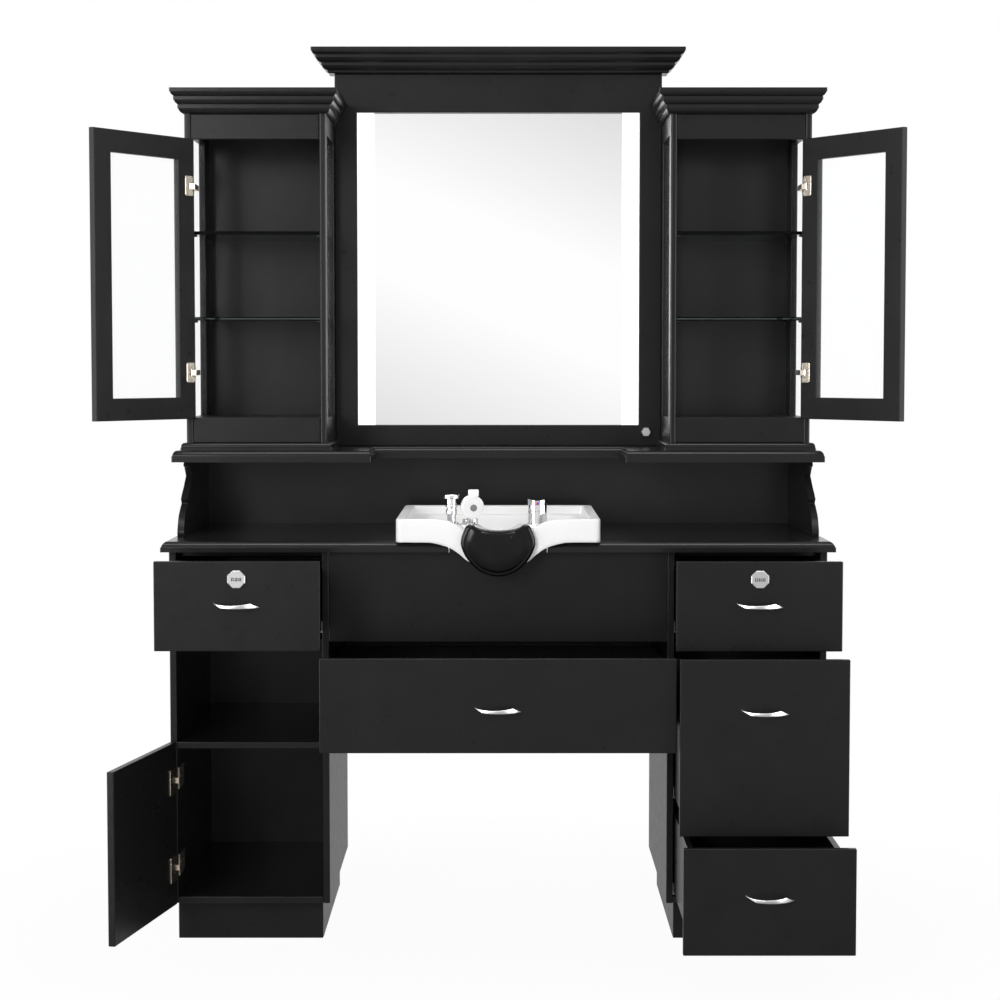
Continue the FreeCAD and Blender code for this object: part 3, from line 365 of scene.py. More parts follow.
def gloss_plastic(name, low, high, rough):
    """Moulded plastic with a faint flow mottle."""
    material, tree, shader = finish_graph(name)
    flow = noise(tree, place(tree), scale=70.0, detail=3.0)
    tree.links.new(between(tree, flow, low, high), shader.inputs["Base Color"])
    tree.links.new(between(tree, flow, rough * 0.85, rough * 1.15), shader.inputs["Roughness"])
    grain = noise(tree, place(tree), scale=800.0, detail=2.0)
    bumped(tree, shader, grain, distance=0.00002, strength=0.3)
    return material


CERAMIC = glazed_ceramic()
RUBBER = pebbled_rubber()
WHITE_PLASTIC = gloss_plastic("white_plastic", (0.84, 0.84, 0.84), (0.89, 0.89, 0.89), 0.2)
BLACK_PLASTIC = gloss_plastic("black_plastic", (0.015, 0.015, 0.015), (0.025, 0.025, 0.025), 0.3)
wear("spray_head", WHITE_PLASTIC)
wear("shelf_pins", BLACK_PLASTIC)
print("finishes so far:", len(bpy.data.materials))

# %% [markdown]
# ## Surfaces from rings
# Nearly every new piece is a stack of closed rings of points, so a grid of two parameters: along the
# stack and round the ring. The drawing is in millimetres with y counted from the pedestal fronts,
# and one helper moves it into the frame. Another joins the rings with quads and closes open ends
# with a fan.

# %% Surfaces from rings
DRAWING_SHIFT = np.array([0.0, -51.5, 0.0])
MILLIMETRE = 0.001


def in_frame(points):
    """Drawing millimetres to metres in the frame."""
    return (np.asarray(points, dtype=float) + DRAWING_SHIFT) * MILLIMETRE


def ring_quads(rows, columns, closed):
    """Quads between neighbouring rings; the last ring joins the first if the stack is closed."""
    i = np.arange(rows if closed else rows - 1)[:, None]
    j = np.arange(columns)[None, :]
    above, beside = (i + 1) % rows, (j + 1) % columns
    corners = [i * columns + j, i * columns + beside, above * columns + beside, above * columns + j]
    return np.stack(corners, axis=-1).reshape(-1, 4)


def end_fan(ring, hub):
    """Triangles from a ring of vertex numbers to one hub vertex."""
    return np.stack([ring, np.roll(ring, -1), np.full(len(ring), hub)], axis=-1)


def skin(name, stacks, closed=False, crease=40.0):
    """One mesh from stacks of rings[i, j]; edges sharper than the crease angle stay sharp."""
    points, faces, count = [], [], 0
    for rings in stacks:
        rows, columns = rings.shape[:2]
        number = np.arange(rows * columns).reshape(rows, columns) + count
        points.append(rings.reshape(-1, 3))
        faces += (ring_quads(rows, columns, closed) + count).tolist()
        count += rows * columns
        if not closed:
            points.append(np.stack([rings[0].mean(axis=0), rings[-1].mean(axis=0)]))
            faces += end_fan(number[0], count).tolist() + end_fan(number[-1], count + 1).tolist()
            count += 2
    mesh = bpy.data.meshes.new(name)
    mesh.from_pydata(in_frame(np.concatenate(points)).tolist(), [], faces)
    work = bmesh.new()
    work.from_mesh(mesh)
    bmesh.ops.recalc_face_normals(work, faces=work.faces)
    work.to_mesh(mesh)
    work.free()
    mesh.polygons.foreach_set("use_smooth", np.ones(len(mesh.polygons), dtype=bool))
    mesh.set_sharp_from_angle(angle=math.radians(crease))
    obj = bpy.data.objects.new(name, mesh)
    bpy.context.scene.collection.objects.link(obj)
    print(name, "has", len(mesh.polygons), "faces")
    return obj


def dress(obj, body, material, slot, *stands_for):
    """Give a piece its body and its finish, and hide the frame nodes that it stands for; slot is not
    used.
    """
    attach(obj, body)
    wear(obj, material)
    if stands_for:
        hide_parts(*stands_for)


def through(points, count):
    """Smooth curve through points: each stretch is a Catmull-Rom cubic of four neighbours."""
    p = np.asarray(points, dtype=float)
    p = np.vstack([2.0 * p[0] - p[1], p, 2.0 * p[-1] - p[-2]])
    t = np.linspace(0.0, len(p) - 3.0, count)
    k = np.minimum(t.astype(int), len(p) - 4)
    f = (t - k)[:, None]
    a, b, c, d = p[k], p[k + 1], p[k + 2], p[k + 3]
    bend = 2.0 * a - 5.0 * b + 4.0 * c - d
    twist = 3.0 * b - a - 3.0 * c + d
    return 0.5 * (2.0 * b + (c - a) * f + bend * f**2 + twist * f**3)


def lathe(profile, base, axis, columns=32):
    """Rings of a turned piece: each (radius, height) of the profile goes round the axis."""
    axis = np.asarray(axis, dtype=float) / np.linalg.norm(axis)
    side = np.cross(axis, (1.0, 0.0, 0.0) if abs(axis[0]) < 0.9 else (0.0, 1.0, 0.0))
    side /= np.linalg.norm(side)
    other = np.cross(axis, side)
    t = np.linspace(0.0, 2.0 * np.pi, columns, endpoint=False)
    circle = np.cos(t)[:, None] * side + np.sin(t)[:, None] * other
    profile = np.asarray(profile, dtype=float)
    return np.asarray(base) + profile[:, 0, None, None] * circle + profile[:, 1, None, None] * axis


# %% [markdown]
# ## Shampoo bowl
# The bowl is one casting of glazed ceramic: a flat-faced rim, a ledge for the taps, a deep tub with
# a drain hole, a scoop for the neck at the front and a skirt that hangs over the counter's edge. A
# box with bevels would be too hard for ceramic. Here rounded rectangles run from the outer wall
# over the rim, down into the tub, through the drain and back up outside, so the skin closes on
# itself, and only the front run is bent for scoop and skirt.

# %% Outline of a ring
FRONT_RUN, SIDE_RUN, BEND = 121, 25, 9
IS_FRONT = np.arange(FRONT_RUN + 3 * SIDE_RUN + 4 * BEND) < FRONT_RUN


def rounded_rectangle(half, y0, y1, corner):
    """Walk round a rectangle with round corners: four times a straight run and a quarter circle.

    The front run comes first. half is half the width, y0 is the front and y1 the back.
    """
    turn = np.linspace(0.0, np.pi / 2.0, BEND + 2)[1:-1]
    x, near, far = half - corner, y0 + corner, y1 - corner
    runs = [np.stack([np.linspace(-x, x, FRONT_RUN), np.full(FRONT_RUN, y0)], axis=-1)]
    bends = [(x, near, -np.pi / 2.0), (x, far, 0.0), (-x, far, np.pi / 2.0), (-x, near, np.pi)]
    straights = [((half, near), (half, far)), ((x, y1), (-x, y1)), ((-half, far), (-half, near))]
    for k, (cx, cy, start) in enumerate(bends):
        angle = start + turn
        runs.append(np.stack([cx + corner * np.cos(angle), cy + corner * np.sin(angle)], axis=-1))
        if k < len(straights):
            runs.append(np.linspace(*straights[k], SIDE_RUN))
    return np.concatenate(runs)


# %% Heights along the bowl's front
BOWL_HALF, BOWL_FRONT, BOWL_BACK = 225.0, -46.0, 451.0
BOWL_TOP, BOWL_WALL, LEDGE, SEAT = 955.0, 22.0, 935.0, 903.0
DRAIN = np.array([0.0, 285.0])
NECK_RADIUS, NECK_CENTRE = 70.0, 989.0
SCOOP_LINE = [
    (0, 919), (40, 921), (72, 928), (85, 938), (105, 948), (128, 953.5), (150, 955), (240, 955),
]
SKIRT_LINE = [
    (0, 843), (36, 848), (67, 862), (85, 877), (108, 891.5), (140, 901), (165, 903), (240, 903),
]
SCOOP, SKIRT = through(SCOOP_LINE, count=200), through(SKIRT_LINE, count=200)


def rim_height(x):
    """Height of the rim: level, but scooped along the front run."""
    return np.where(IS_FRONT, np.interp(np.abs(x), SCOOP[:, 0], SCOOP[:, 1]), BOWL_TOP)


def low_height(x):
    """Height of the wall's lower edge: on the counter, but a hanging skirt along the front run."""
    return np.where(IS_FRONT, np.interp(np.abs(x), SKIRT[:, 0], SKIRT[:, 1]), SEAT)


def ledge_height(x):
    """Height of the ledge, with a round trough for the neck along the front run."""
    trough = NECK_CENTRE - np.sqrt(np.maximum(NECK_RADIUS**2 - x**2, 0.0))
    return np.where(IS_FRONT, np.minimum(LEDGE, trough), LEDGE)


# %% Helpers for the bowl's rings
BOWL_CORNER, LEAST_CORNER = 14.0, 5.0
SOFT_EDGE, RIM_EDGE = 1.2, 3.5


def ring_at(outline, heights):
    """One closed ring: an outline in plan with one height, or a height for each of its points."""
    return np.column_stack([outline, np.broadcast_to(heights, len(outline))])


def inset(d):
    """The bowl's outline drawn in by a distance; its corners tighten by half of that."""
    corner = max(BOWL_CORNER - 0.5 * d, LEAST_CORNER)
    return rounded_rectangle(BOWL_HALF - d, BOWL_FRONT + d, BOWL_BACK - d, corner)


def part_way(start, end, share):
    """A share of the way from one outline, or height, to another."""
    return start + (end - start) * share


# %% Wall and rim of the bowl
FOOT_IN, FILLET_IN, FILLET_SHARE, FILLET_MOST = 3.0, 3.4, 0.15, 4.0


def wall_rings():
    """Outer wall from its lower edge up, a quarter circle at each edge of the rim, inner wall."""
    quarter = np.linspace(0.0, np.pi / 2.0, 5)
    outer = inset(0.0)
    low, rim = low_height(outer[:, 0]), rim_height(outer[:, 0])
    rings = [ring_at(inset(SOFT_EDGE), low)]
    for f in np.linspace(0.0, 1.0, 9):
        rings.append(ring_at(outer, part_way(low + SOFT_EDGE, rim - RIM_EDGE, f)))
    for a in quarter[1:]:
        line = inset(RIM_EDGE * (1.0 - np.cos(a)))
        rings.append(ring_at(line, rim - RIM_EDGE * (1.0 - np.sin(a))))
    for a in quarter:
        line = inset(BOWL_WALL - RIM_EDGE + RIM_EDGE * np.sin(a))
        edge_z = rim_height(line[:, 0]) - RIM_EDGE * (1.0 - np.cos(a))
        rings.append(ring_at(line, np.maximum(edge_z, ledge_height(line[:, 0]))))
    wall, foot = inset(BOWL_WALL), inset(BOWL_WALL + FOOT_IN)
    foot_z = ledge_height(foot[:, 0])
    wall_z = np.maximum(rim_height(wall[:, 0]) - RIM_EDGE, foot_z)
    for f in (0.35, 0.75, 0.93):
        rings.append(ring_at(part_way(wall, foot, f), part_way(wall_z, foot_z, f)))
    fillet_z = foot_z + FILLET_SHARE * np.minimum(wall_z - foot_z, FILLET_MOST)
    rings.append(ring_at(inset(BOWL_WALL + FILLET_IN), fillet_z))
    return rings


# %% Ledge, tub and drain of the bowl
LEDGE_IN = 6.0
TUB_MOUTH, TUB_BOTTOM = (186.0, 95.0, 415.0, 40.0), (112.0, 138.0, 342.0, 36.0)
TUB_EDGE = ((0.015, 0.5), (0.04, 2.5), (0.075, 7.0))
TUB_FOOT_SHARE, TUB_FOOT_Z = 0.92, 784.0
TUB_BEND = ((0.99, 779.5), (1.10, 776.8), (1.22, 775.6))
LEVEL_SHARE, LEVEL_Z, DRAIN_RADIUS = 1.35, 775.0, 21.5


def tub_outline(share):
    """Outline of the tub a share of the way from its mouth to its bottom."""
    return part_way(rounded_rectangle(*TUB_MOUTH), rounded_rectangle(*TUB_BOTTOM), share)


def drain_circle():
    """The drain's edge: the level floor's outline, each point drawn in to the drain's radius."""
    away = tub_outline(LEVEL_SHARE) - DRAIN
    return DRAIN + DRAIN_RADIUS * away / np.linalg.norm(away, axis=1, keepdims=True)


def tub_rings():
    """Ledge, rounded edge at the tub's mouth, slanting wall, bend, and level floor to the drain."""
    shelf, mouth = inset(BOWL_WALL + LEDGE_IN), tub_outline(0.0)
    mouth_z = ledge_height(mouth[:, 0])
    rings = []
    for f in np.linspace(0.0, 1.0, 5):
        line = part_way(shelf, mouth, f)
        rings.append(ring_at(line, ledge_height(line[:, 0])))
    for share, drop in TUB_EDGE:
        rings.append(ring_at(tub_outline(share), mouth_z - drop))
    edge_share, edge_drop = TUB_EDGE[-1]
    for share in np.linspace(0.12, TUB_FOOT_SHARE, 9):
        down = (share - edge_share) / (TUB_FOOT_SHARE - edge_share)
        rings.append(ring_at(tub_outline(share), part_way(mouth_z - edge_drop, TUB_FOOT_Z, down)))
    for share, z in TUB_BEND:
        rings.append(ring_at(tub_outline(share), z))
    for f in np.linspace(0.0, 1.0, 4):
        rings.append(ring_at(part_way(tub_outline(LEVEL_SHARE), drain_circle(), f), LEVEL_Z))
    return rings


# %% Underside of the bowl
UNDERSIDE, DRAIN_SOFT = 760.0, 3.0
UNDER_FLOOR, UNDER_MOUTH = (125.0, 125.0, 355.0, 40.0), (200.0, 78.0, 430.0, 40.0)
SEAT_IN, SKIRT_IN, SKIRT_DRAFT, SKIRT_LOW_IN, SKIRT_GAP = 19.0, 16.0, 0.4, 14.4, 0.1


def under_rings():
    """The drain's bore, the tub's outside up to the seat on the counter, the back of the skirt."""
    drain = drain_circle()
    under_floor, under_mouth = rounded_rectangle(*UNDER_FLOOR), rounded_rectangle(*UNDER_MOUTH)
    rings = [ring_at(drain, z) for z in (LEVEL_Z - DRAIN_SOFT, UNDERSIDE + DRAIN_SOFT, UNDERSIDE)]
    rings.append(ring_at((drain + under_floor) / 2.0, UNDERSIDE))
    for f in np.linspace(0.0, 1.0, 6):
        rings.append(ring_at(part_way(under_floor, under_mouth, f), part_way(UNDERSIDE, SEAT, f)))
    rings.append(ring_at(inset(SEAT_IN), SEAT))
    for f in (0.0, 0.5, 1.0):
        line = inset(SKIRT_IN - SKIRT_DRAFT * f)
        skirt_z = part_way(SEAT - SKIRT_GAP, low_height(line[:, 0]) + SOFT_EDGE, f)
        rings.append(ring_at(line, skirt_z))
    rings.append(ring_at(inset(SKIRT_LOW_IN), low_height(inset(SKIRT_IN)[:, 0])))
    return rings


bowl_rings = np.stack(wall_rings() + tub_rings() + under_rings())
bowl = skin("shampoo_bowl", [bowl_rings], closed=True, crease=60.0)
dress(bowl, "station", CERAMIC, "white_ceramic", "basin")

# %% [markdown]
# ## Neck rest
# The neck rest is a moulded rubber shield that hooks over the bowl's front: a rolled border, a
# shallow groove and a crowned middle. It is firm and not sewn, so it is shaped directly: one
# outline is drawn in towards its middle while it comes forward, and the changes of direction make
# border, groove and crown.

# %% Neck rest
REST_SIDE = [
    (-56, 943.5), (-64, 943), (-72, 936.5), (-82, 907), (-76, 882), (-60, 858), (-36, 838.5),
    (0, 829),
]
REST_TOP = [(-56, 943.5), (-44, 936), (-24, 932), (0, 930.5)]
REST_MIDDLE = np.array([0.0, 888.0])
REST_STEPS = [
    (0.50, 0.0), (0.90, 0.0), (0.965, 0.4), (0.990, 2.5), (1.000, 6.0), (1.000, 10.0),
    (0.994, 13.5), (0.978, 16.5), (0.955, 18.6), (0.930, 19.6), (0.908, 19.9), (0.890, 19.7),
    (0.875, 19.5), (0.860, 19.8), (0.830, 20.7), (0.780, 21.8), (0.700, 22.8), (0.580, 23.5),
    (0.430, 23.9), (0.250, 24.0), (0.080, 24.0),
]


def mirrored(points):
    """Points from the left end to the middle, continued to the right end."""
    return points + [(-x, z) for x, z in reversed(points[:-1])]


def neck_rest_rings():
    """The shield's outline scaled about its middle, one ring for each (scale, way forward) step."""
    side = through(mirrored(REST_SIDE), count=121)
    top = through(mirrored(REST_TOP), count=61)[::-1]
    outline = np.concatenate([side, top[1:-1]])
    scale, forward = np.array(REST_STEPS).T
    flat = REST_MIDDLE + (outline - REST_MIDDLE) * scale[:, None, None]
    depth = np.broadcast_to(BOWL_FRONT - forward[:, None, None], flat.shape[:2] + (1,))
    return np.concatenate([flat[..., :1], depth, flat[..., 1:]], axis=-1)


neck_rest = skin("neck_rest_pad", [neck_rest_rings()], crease=70.0)
dress(neck_rest, "station", RUBBER, "black_rubber", "neck_rest")

# %% [markdown]
# ## Bow handles
# Each drawer has a cast bow handle whose ends are cut on the same slant. A rounded bar is carried
# along an arc; where it starts and stops depends on the height within the bar, and that makes the
# slanted tips.

# %% Bow handles
PEDESTAL_X = 553.0
HANDLES = {
    "left_top_drawer": (-PEDESTAL_X, -230.0, 785.0),
    "right_top_drawer": (PEDESTAL_X, -235.0, 785.0),
    "right_middle_drawer": (PEDESTAL_X, -345.0, 575.0),
    "right_bottom_drawer": (PEDESTAL_X, -450.0, 211.0),
    "centre_drawer": (0.0, -310.0, 575.0),
}
BOW_HALF, BOW_RISE, BOW_THICK, BOW_TALL, BOW_SLANT, BOW_DIP = 52.0, 32.0, 4.5, 11.0, 22.0, 4.0
BOW_SQUARENESS, BOW_SECTION, BOW_STEPS = 0.4, 40, 33


def bow_rings(x, face, z):
    """A squarish oval section on an arc of one radius.

    The arc's two ends slide along it with the height, and the upper edge dips along a parabola.
    """
    t = np.linspace(0.0, 2.0 * np.pi, BOW_SECTION, endpoint=False)
    out = BOW_THICK / 2.0 * np.sign(np.cos(t)) * np.abs(np.cos(t)) ** BOW_SQUARENESS
    up = BOW_TALL / 2.0 * np.sign(np.sin(t)) * np.abs(np.sin(t)) ** BOW_SQUARENESS
    radius = (BOW_HALF**2 + BOW_RISE**2) / (2.0 * BOW_RISE)
    share = up / BOW_TALL + 0.5
    first = np.arcsin((-BOW_HALF + BOW_SLANT * (1.0 - share)) / radius)
    last = np.arcsin((BOW_HALF - BOW_SLANT * share) / radius)
    s = np.linspace(0.0, 1.0, BOW_STEPS)[:, None]
    angle = first + (last - first) * s
    reach = radius - BOW_THICK / 2.0 + out
    y = np.minimum(face + radius - BOW_RISE - reach * np.cos(angle), face)
    height = z + up - BOW_DIP * share * 4.0 * s * (1.0 - s)
    return np.stack([x + reach * np.sin(angle), y, height], axis=-1)


for drawer, (x, face, z) in HANDLES.items():
    handle = skin(drawer + "_bow", [bow_rings(x, face, z)])
    dress(handle, drawer, SATIN, "satin_metal", drawer + "_handle")

# %% [markdown]
# ## Cabinet glass
# Each cabinet has two glass shelves on pins and a pane in each side. Shelves get softly polished
# edges, which is where thick glass shows its tint. Panes are plain sheets.

# %% Cabinet glass
SHELF_X, SHELF_Y, SHELF_Z = (414.0, 707.5), (276.0, 566.0), (1396.0, 1594.5)
SHELF_THICK, SHELF_POLISH = 8.0, 0.8
PANE_X, PANE_Y, PANE_Z = (716.0, 405.5), (290.0, 496.0), (1171.0, 1825.0)
PANE_HALF, PANE_POLISH = 2.0, 0.3


def sheet_rings(x0, x1, y0, y1, z0, z1, polish):
    """A slab as four rectangles: two round its edge, and two faces drawn in by the polish."""
    corners = np.array([(x0, y0), (x1, y0), (x1, y1), (x0, y1)])
    inward = np.array([(1, 1), (-1, 1), (-1, -1), (1, -1)]) * polish
    steps = ((1, z0), (0, z0 + polish), (0, z1 - polish), (1, z1))
    return np.stack([np.column_stack([corners + inward * k, np.full(4, z)]) for k, z in steps])


shelves, panes = [], []
for way in (-1.0, 1.0):
    for z in SHELF_Z:
        x0, x1 = sorted(way * x for x in SHELF_X)
        shelves.append(sheet_rings(x0, x1, *SHELF_Y, z, z + SHELF_THICK, SHELF_POLISH))
    for x in PANE_X:
        x0, x1 = way * x - PANE_HALF, way * x + PANE_HALF
        panes.append(sheet_rings(x0, x1, *PANE_Y, *PANE_Z, PANE_POLISH))
dress(skin("cabinet_panes", panes, crease=20.0), "station", PANE, "clear_glass", "cabinet_glass")
dress(skin("cabinet_glass_shelves", shelves, crease=20.0), "station", SHELF_GLASS, "clear_glass")

# %% [markdown]
# ## Small fittings at the bowl
# The hand spray has a grey rubber face with jets, the tap has a red and blue dot for hot and cold,
# and two chrome screws clamp the bowl's overhang from below. All are turned pieces.

# %% Finishes of the small fittings
SPLIT_STEEP, SPLIT_X = 4000.0, 0.087225


def jet_rubber():
    """Grey rubber with small dark Voronoi discs at the jets: painted shade in the jet holes."""
    material, tree, shader = finish_graph("jet_rubber", Roughness=0.5)
    jets = cells(tree, place(tree), scale=330.0)
    colour = between(tree, jets, (0.04, 0.04, 0.04), (0.17, 0.17, 0.17), 0.25, 0.35)
    tree.links.new(colour, shader.inputs["Base Color"])
    bumped(tree, shader, jets, distance=0.0003, strength=0.5)
    return material


def hot_and_cold():
    """Red on the left and blue on the right: a steep ramp across the dot's middle."""
    material, tree, shader = finish_graph("hot_and_cold")
    where = place(tree, (SPLIT_STEEP, 1.0, 1.0), move=(0.5 - SPLIT_STEEP * SPLIT_X, 0.0, 0.0))
    split = tree.nodes.new("ShaderNodeSeparateXYZ")
    tree.links.new(where, split.inputs["Vector"])
    colour = between(tree, split.outputs["X"], (0.75, 0.02, 0.01), (0.02, 0.02, 0.80), 0.45, 0.55)
    tree.links.new(colour, shader.inputs["Base Color"])
    grain = noise(tree, place(tree), scale=500.0)
    tree.links.new(between(tree, grain, 0.25, 0.35), shader.inputs["Roughness"])
    return material


# %% Small fittings at the bowl
FORWARD, UP = (0.0, -1.0, 0.0), (0.0, 0.0, 1.0)
SPRAY_MIDDLE, SPRAY_AIM = np.array([-58.0, 44.0, 977.0]), np.array([0.2, -1.0, -0.12])
SPRAY_AIM /= np.linalg.norm(SPRAY_AIM)
FACE_FORWARD, FACE_SHIFT = 6.0, np.array([2.0, 0.0, -2.0])
FACE_PROFILE = [(6.0, 0.0), (7.7, 0.3), (7.7, 1.8), (7.0, 2.4), (4.0, 2.7), (0.8, 2.8)]
DOT_PLACE = (87.3, 29.2, 984.5)
DOT_PROFILE = [(2.0, 0.0), (3.6, 0.0), (3.6, 0.4), (3.0, 0.8), (1.2, 1.0)]
SCREW_X, SCREW_Y = (-108.0, 108.0), -37.0
SCREW_PROFILE = [(0.8, 880.0), (1.7, 880.4), (2.0, 881.5), (2.0, 903.5), (1.0, 903.6)]

nozzle = lathe(FACE_PROFILE, SPRAY_MIDDLE + SPRAY_AIM * FACE_FORWARD + FACE_SHIFT, SPRAY_AIM)
dress(skin("spray_nozzle", [nozzle]), "spray_head", jet_rubber(), "black_rubber")
dot = lathe(DOT_PROFILE, DOT_PLACE, FORWARD)
dress(skin("tap_dot", [dot]), "mixer_lever", hot_and_cold(), "white_plastic")
screws = [lathe(SCREW_PROFILE, (x, SCREW_Y, 0.0), UP, columns=20) for x in SCREW_X]
dress(skin("bowl_screws", screws), "station", CHROME, "chrome")

# %% [markdown]
# ## Digits on the lock dials
# The locks on the top drawers have three dials each, with white digits 0 to 9; the dials are dark
# as painted shade. Each digit is a small flat text with a little thickness, made into a mesh and
# wound round its dial: its height becomes an angle.

# %% Digits on the lock dials
LOCK_HEIGHT, LOCK_PROUD, AXLE_DEPTH = 840.0, 8.3, 4.0
DIAL_RADIUS, DIAL_PITCH = 5.0, 7.8
DIGIT_TALL, DIGIT_STRETCH, DIGIT_THICK, DIGIT_LIFT, FONT_SHARE = 2.4, 1.6, 0.06, 0.10, 1.4


def digit_shapes():
    """Points and faces of the ten digits, centred, in millimetres."""
    shapes = []
    for k in range(10):
        text = bpy.data.curves.new("digit", "FONT")
        text.body = str(k)
        text.size = DIGIT_TALL * FONT_SHARE
        text.extrude = DIGIT_THICK
        text.resolution_u = 2
        text.align_x = "CENTER"
        text.align_y = "CENTER"
        holder = bpy.data.objects.new("digit", text)
        mesh = bpy.data.meshes.new_from_object(holder)
        points = np.empty(len(mesh.vertices) * 3)
        mesh.vertices.foreach_get("co", points)
        shapes.append((points.reshape(-1, 3), [list(p.vertices) for p in mesh.polygons]))
        bpy.data.objects.remove(holder)
        bpy.data.meshes.remove(mesh)
        bpy.data.curves.remove(text)
    return shapes


def wound_digits(name, x, axle_y, shapes):
    """A point's angle is k tenths of a turn for digit k, plus its height over the dial's radius."""
    points, faces, count = [], [], 0
    for k, (flat, polygons) in enumerate(shapes):
        angle = k * np.pi / 5.0 + flat[:, 1] / DIAL_RADIUS
        reach = DIAL_RADIUS + DIGIT_LIFT + flat[:, 2]
        across = x + DIGIT_STRETCH * flat[:, 0]
        back, up = axle_y - reach * np.cos(angle), LOCK_HEIGHT + reach * np.sin(angle)
        points.append(np.column_stack([across, back, up]))
        faces += [[v + count for v in p] for p in polygons]
        count += len(flat)
    mesh = bpy.data.meshes.new(name)
    mesh.from_pydata(in_frame(np.concatenate(points)).tolist(), [], faces)
    obj = bpy.data.objects.new(name, mesh)
    bpy.context.scene.collection.objects.link(obj)
    return obj


digits = digit_shapes()
for side in ("left", "right"):
    x, face, _ = HANDLES[side + "_top_drawer"]
    axle_y = face - LOCK_PROUD + AXLE_DEPTH
    for k in (1, 2, 3):
        dial = f"{side}_lock_dial_{k}"
        ring = wound_digits(dial + "_digits", x + (k - 2) * DIAL_PITCH, axle_y, digits)
        dress(ring, dial, WHITE_PLASTIC, "white_plastic")
print("digits on six dials,", sum(len(p) for p, _ in digits), "points each")

# %% [markdown]
# ## White room
# The picture has a plain white room. What the camera, shiny metal and glass see of it is white;
# what lights the object is dimmer, so colours stay as written. The floor is white too, but near the
# object it keeps a share of the shadow. Shiny pieces see it greyer there: its glow in reflections
# is painted shade.


# %% World
def combined(tree, operation, first, second):
    """Sum or product of two numbers, kept within 0 and 1."""
    node = tree.nodes.new("ShaderNodeMath")
    node.operation = operation
    node.use_clamp = True
    tree.links.new(first, node.inputs[0])
    tree.links.new(second, node.inputs[1])
    return node.outputs[0]


def added(tree, first, second):
    """first + second"""
    return combined(tree, "ADD", first, second)


def product(tree, first, second):
    """first times second"""
    return combined(tree, "MULTIPLY", first, second)


def seen_directly(tree):
    """1 for rays from the camera, a shiny surface or through glass, 0 for rays that give light."""
    path = tree.nodes.new("ShaderNodeLightPath")
    pair = added(tree, path.outputs["Is Camera Ray"], path.outputs["Is Glossy Ray"])
    return added(tree, pair, path.outputs["Is Transmission Ray"])


AMBIENT = 0.56
world = bpy.data.worlds.new("white_room")
bpy.context.scene.world = world
world.use_nodes = True
sky = world.node_tree
background = sky.nodes["Background"]
strength = between(sky, seen_directly(sky), AMBIENT, 1.0, 0.0, 1.0)
sky.links.new(strength, background.inputs["Strength"])
background.inputs["Color"].default_value = WHITE
print("world: white to look at,", AMBIENT, "as a light")

# %% Floor
FLOOR_HALF, FLOOR_WHITE, FLOOR_STRETCH = 12.0, (0.9, 0.9, 0.9, 1.0), (0.8, 1.0, 1.0)
NEAR_GLOW, NEAR_EDGE = (0.955, 1.0), (0.75, 1.5)
# Glow levels seen in reflections: painted shade, dimmer near the object.
FRONT_GLOW_PAINTED_SHADE, FRONT_EDGE = (1.0, 0.45), (-8.0, -1.5)
BEHIND_GLOW_PAINTED_SHADE, BEHIND_EDGE = (0.0, 0.135), (-0.5, 0.5)


def white_floor():
    """White floor; a glow takes over from the lit surface with the distance from the object.

    In reflections the glow is painted shade: it falls from the front towards the object and
    rises a little behind it.
    """
    material, tree, shader = finish_graph("white_floor", Base_Color=FLOOR_WHITE, Roughness=0.9)
    glow = tree.nodes.new("ShaderNodeEmission")
    mix = tree.nodes.new("ShaderNodeMixShader")
    ball = tree.nodes.new("ShaderNodeVectorMath")
    ball.operation = "LENGTH"
    tree.links.new(place(tree, FLOOR_STRETCH), ball.inputs[0])
    split = tree.nodes.new("ShaderNodeSeparateXYZ")
    tree.links.new(place(tree), split.inputs["Vector"])
    path = tree.nodes.new("ShaderNodeLightPath")
    straight = added(tree, path.outputs["Is Camera Ray"], path.outputs["Is Transmission Ray"])
    near = product(tree, straight, between(tree, ball.outputs["Value"], *NEAR_GLOW, *NEAR_EDGE))
    glossy = path.outputs["Is Glossy Ray"]
    tree.links.new(added(tree, near, glossy), mix.inputs["Fac"])
    # The glow that shiny pieces see is painted shade, dimmer near the object than far in front.
    front = between(tree, split.outputs["Y"], *FRONT_GLOW_PAINTED_SHADE, *FRONT_EDGE)
    behind = between(tree, split.outputs["Y"], *BEHIND_GLOW_PAINTED_SHADE, *BEHIND_EDGE)
    sheen = product(tree, glossy, added(tree, front, behind))
    tree.links.new(added(tree, straight, sheen), glow.inputs["Strength"])
    tree.links.new(shader.outputs["BSDF"], mix.inputs[1])
    tree.links.new(glow.outputs["Emission"], mix.inputs[2])
    tree.links.new(mix.outputs["Shader"], tree.nodes["Material Output"].inputs["Surface"])
    return material


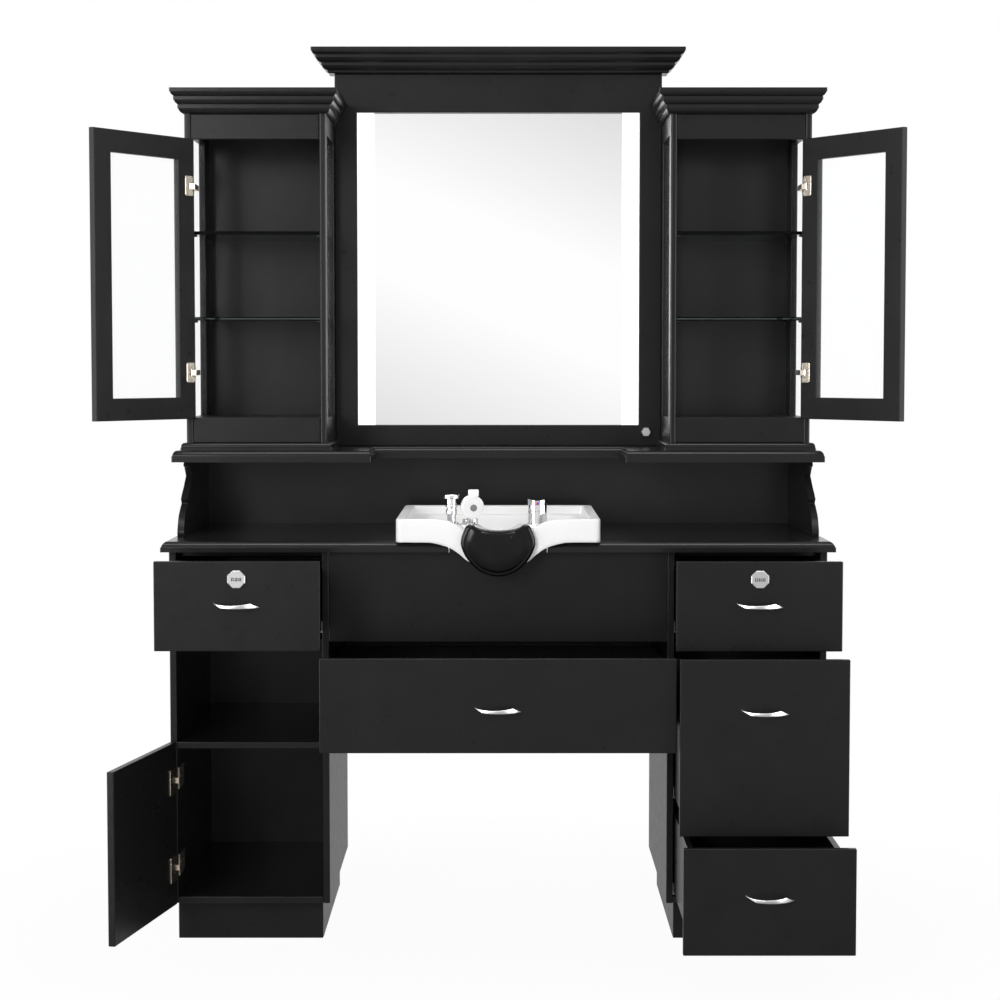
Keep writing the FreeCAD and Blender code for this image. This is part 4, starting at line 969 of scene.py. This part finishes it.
floor_mesh = bpy.data.meshes.new("floor")
quarters = ((-1, -1), (1, -1), (1, 1), (-1, 1))
floor_corners = [(x * FLOOR_HALF, y * FLOOR_HALF, 0.0) for x, y in quarters]
floor_mesh.from_pydata(floor_corners, [], [(0, 1, 2, 3)])
floor = bpy.data.objects.new("floor", floor_mesh)
bpy.context.scene.collection.objects.link(floor)
wear(floor, white_floor())
print("floor:", 2.0 * FLOOR_HALF, "metres square")

# %% [markdown]
# ## Lamps
# A tall softbox beside the camera on the left is the key: satin lacquer answers it most at the
# upper left, so the fronts fade towards the lower right. A softbox above lights the bowl's rim and
# the top edges. A low fill lights the pale pieces from the front and is kept out of reflections.
# Reflector cards above and on both sides do the opposite: they show only in reflections, and draw
# the bright lines on the rounded arrises.

# %% Lamps
DESK_AIM, HUTCH_AIM = (0.0, 0.1, 1.0), (0.0, 0.1, 1.2)
CARD_SIZE, STRIP_SIZE = (2.4, 2.6), (1.2, 2.6)


def softbox(name, position, target, size, watts):
    """Rectangular area lamp, turned to face its target; size is its width and height."""
    data = bpy.data.lights.new(name, "AREA")
    data.shape = "RECTANGLE"
    data.size, data.size_y = size
    data.energy = watts
    lamp = bpy.data.objects.new(name, data)
    lamp.location = position
    aim = np.array(target) - np.array(position)
    tilt = math.acos(-aim[2] / np.linalg.norm(aim))
    lamp.rotation_euler = (tilt, 0.0, math.atan2(aim[1], aim[0]) - math.pi / 2.0)
    bpy.context.scene.collection.objects.link(lamp)
    return lamp


softbox("key", position=(-2.3, -5.0, 2.3), target=(0.0, 0.0, 1.0), size=(1.2, 2.2), watts=128.0)
softbox("top", position=(0.0, -1.2, 4.2), target=DESK_AIM, size=(2.4, 1.6), watts=24.0)
fill = softbox("low_fill", (0.3, -5.0, 0.6), target=(0.0, 0.0, 0.9), size=(1.6, 0.8), watts=22.0)
fill.visible_glossy = False
cards = [softbox("top_strip", (0.0, -1.5, 4.0), target=DESK_AIM, size=(3.0, 0.5), watts=50.0)]
for side, way in (("left", -1.0), ("right", 1.0)):
    cards.append(softbox(side + "_card", (way * 3.1, -0.9, 1.3), HUTCH_AIM, CARD_SIZE, 70.0))
    cards.append(softbox(side + "_strip", (way * 2.9, -2.5, 1.3), HUTCH_AIM, STRIP_SIZE, 110.0))
for card in cards:
    card.visible_diffuse = False
    card.visible_camera = False
print("lamps: key, top, low fill and", len(cards), "reflector cards")
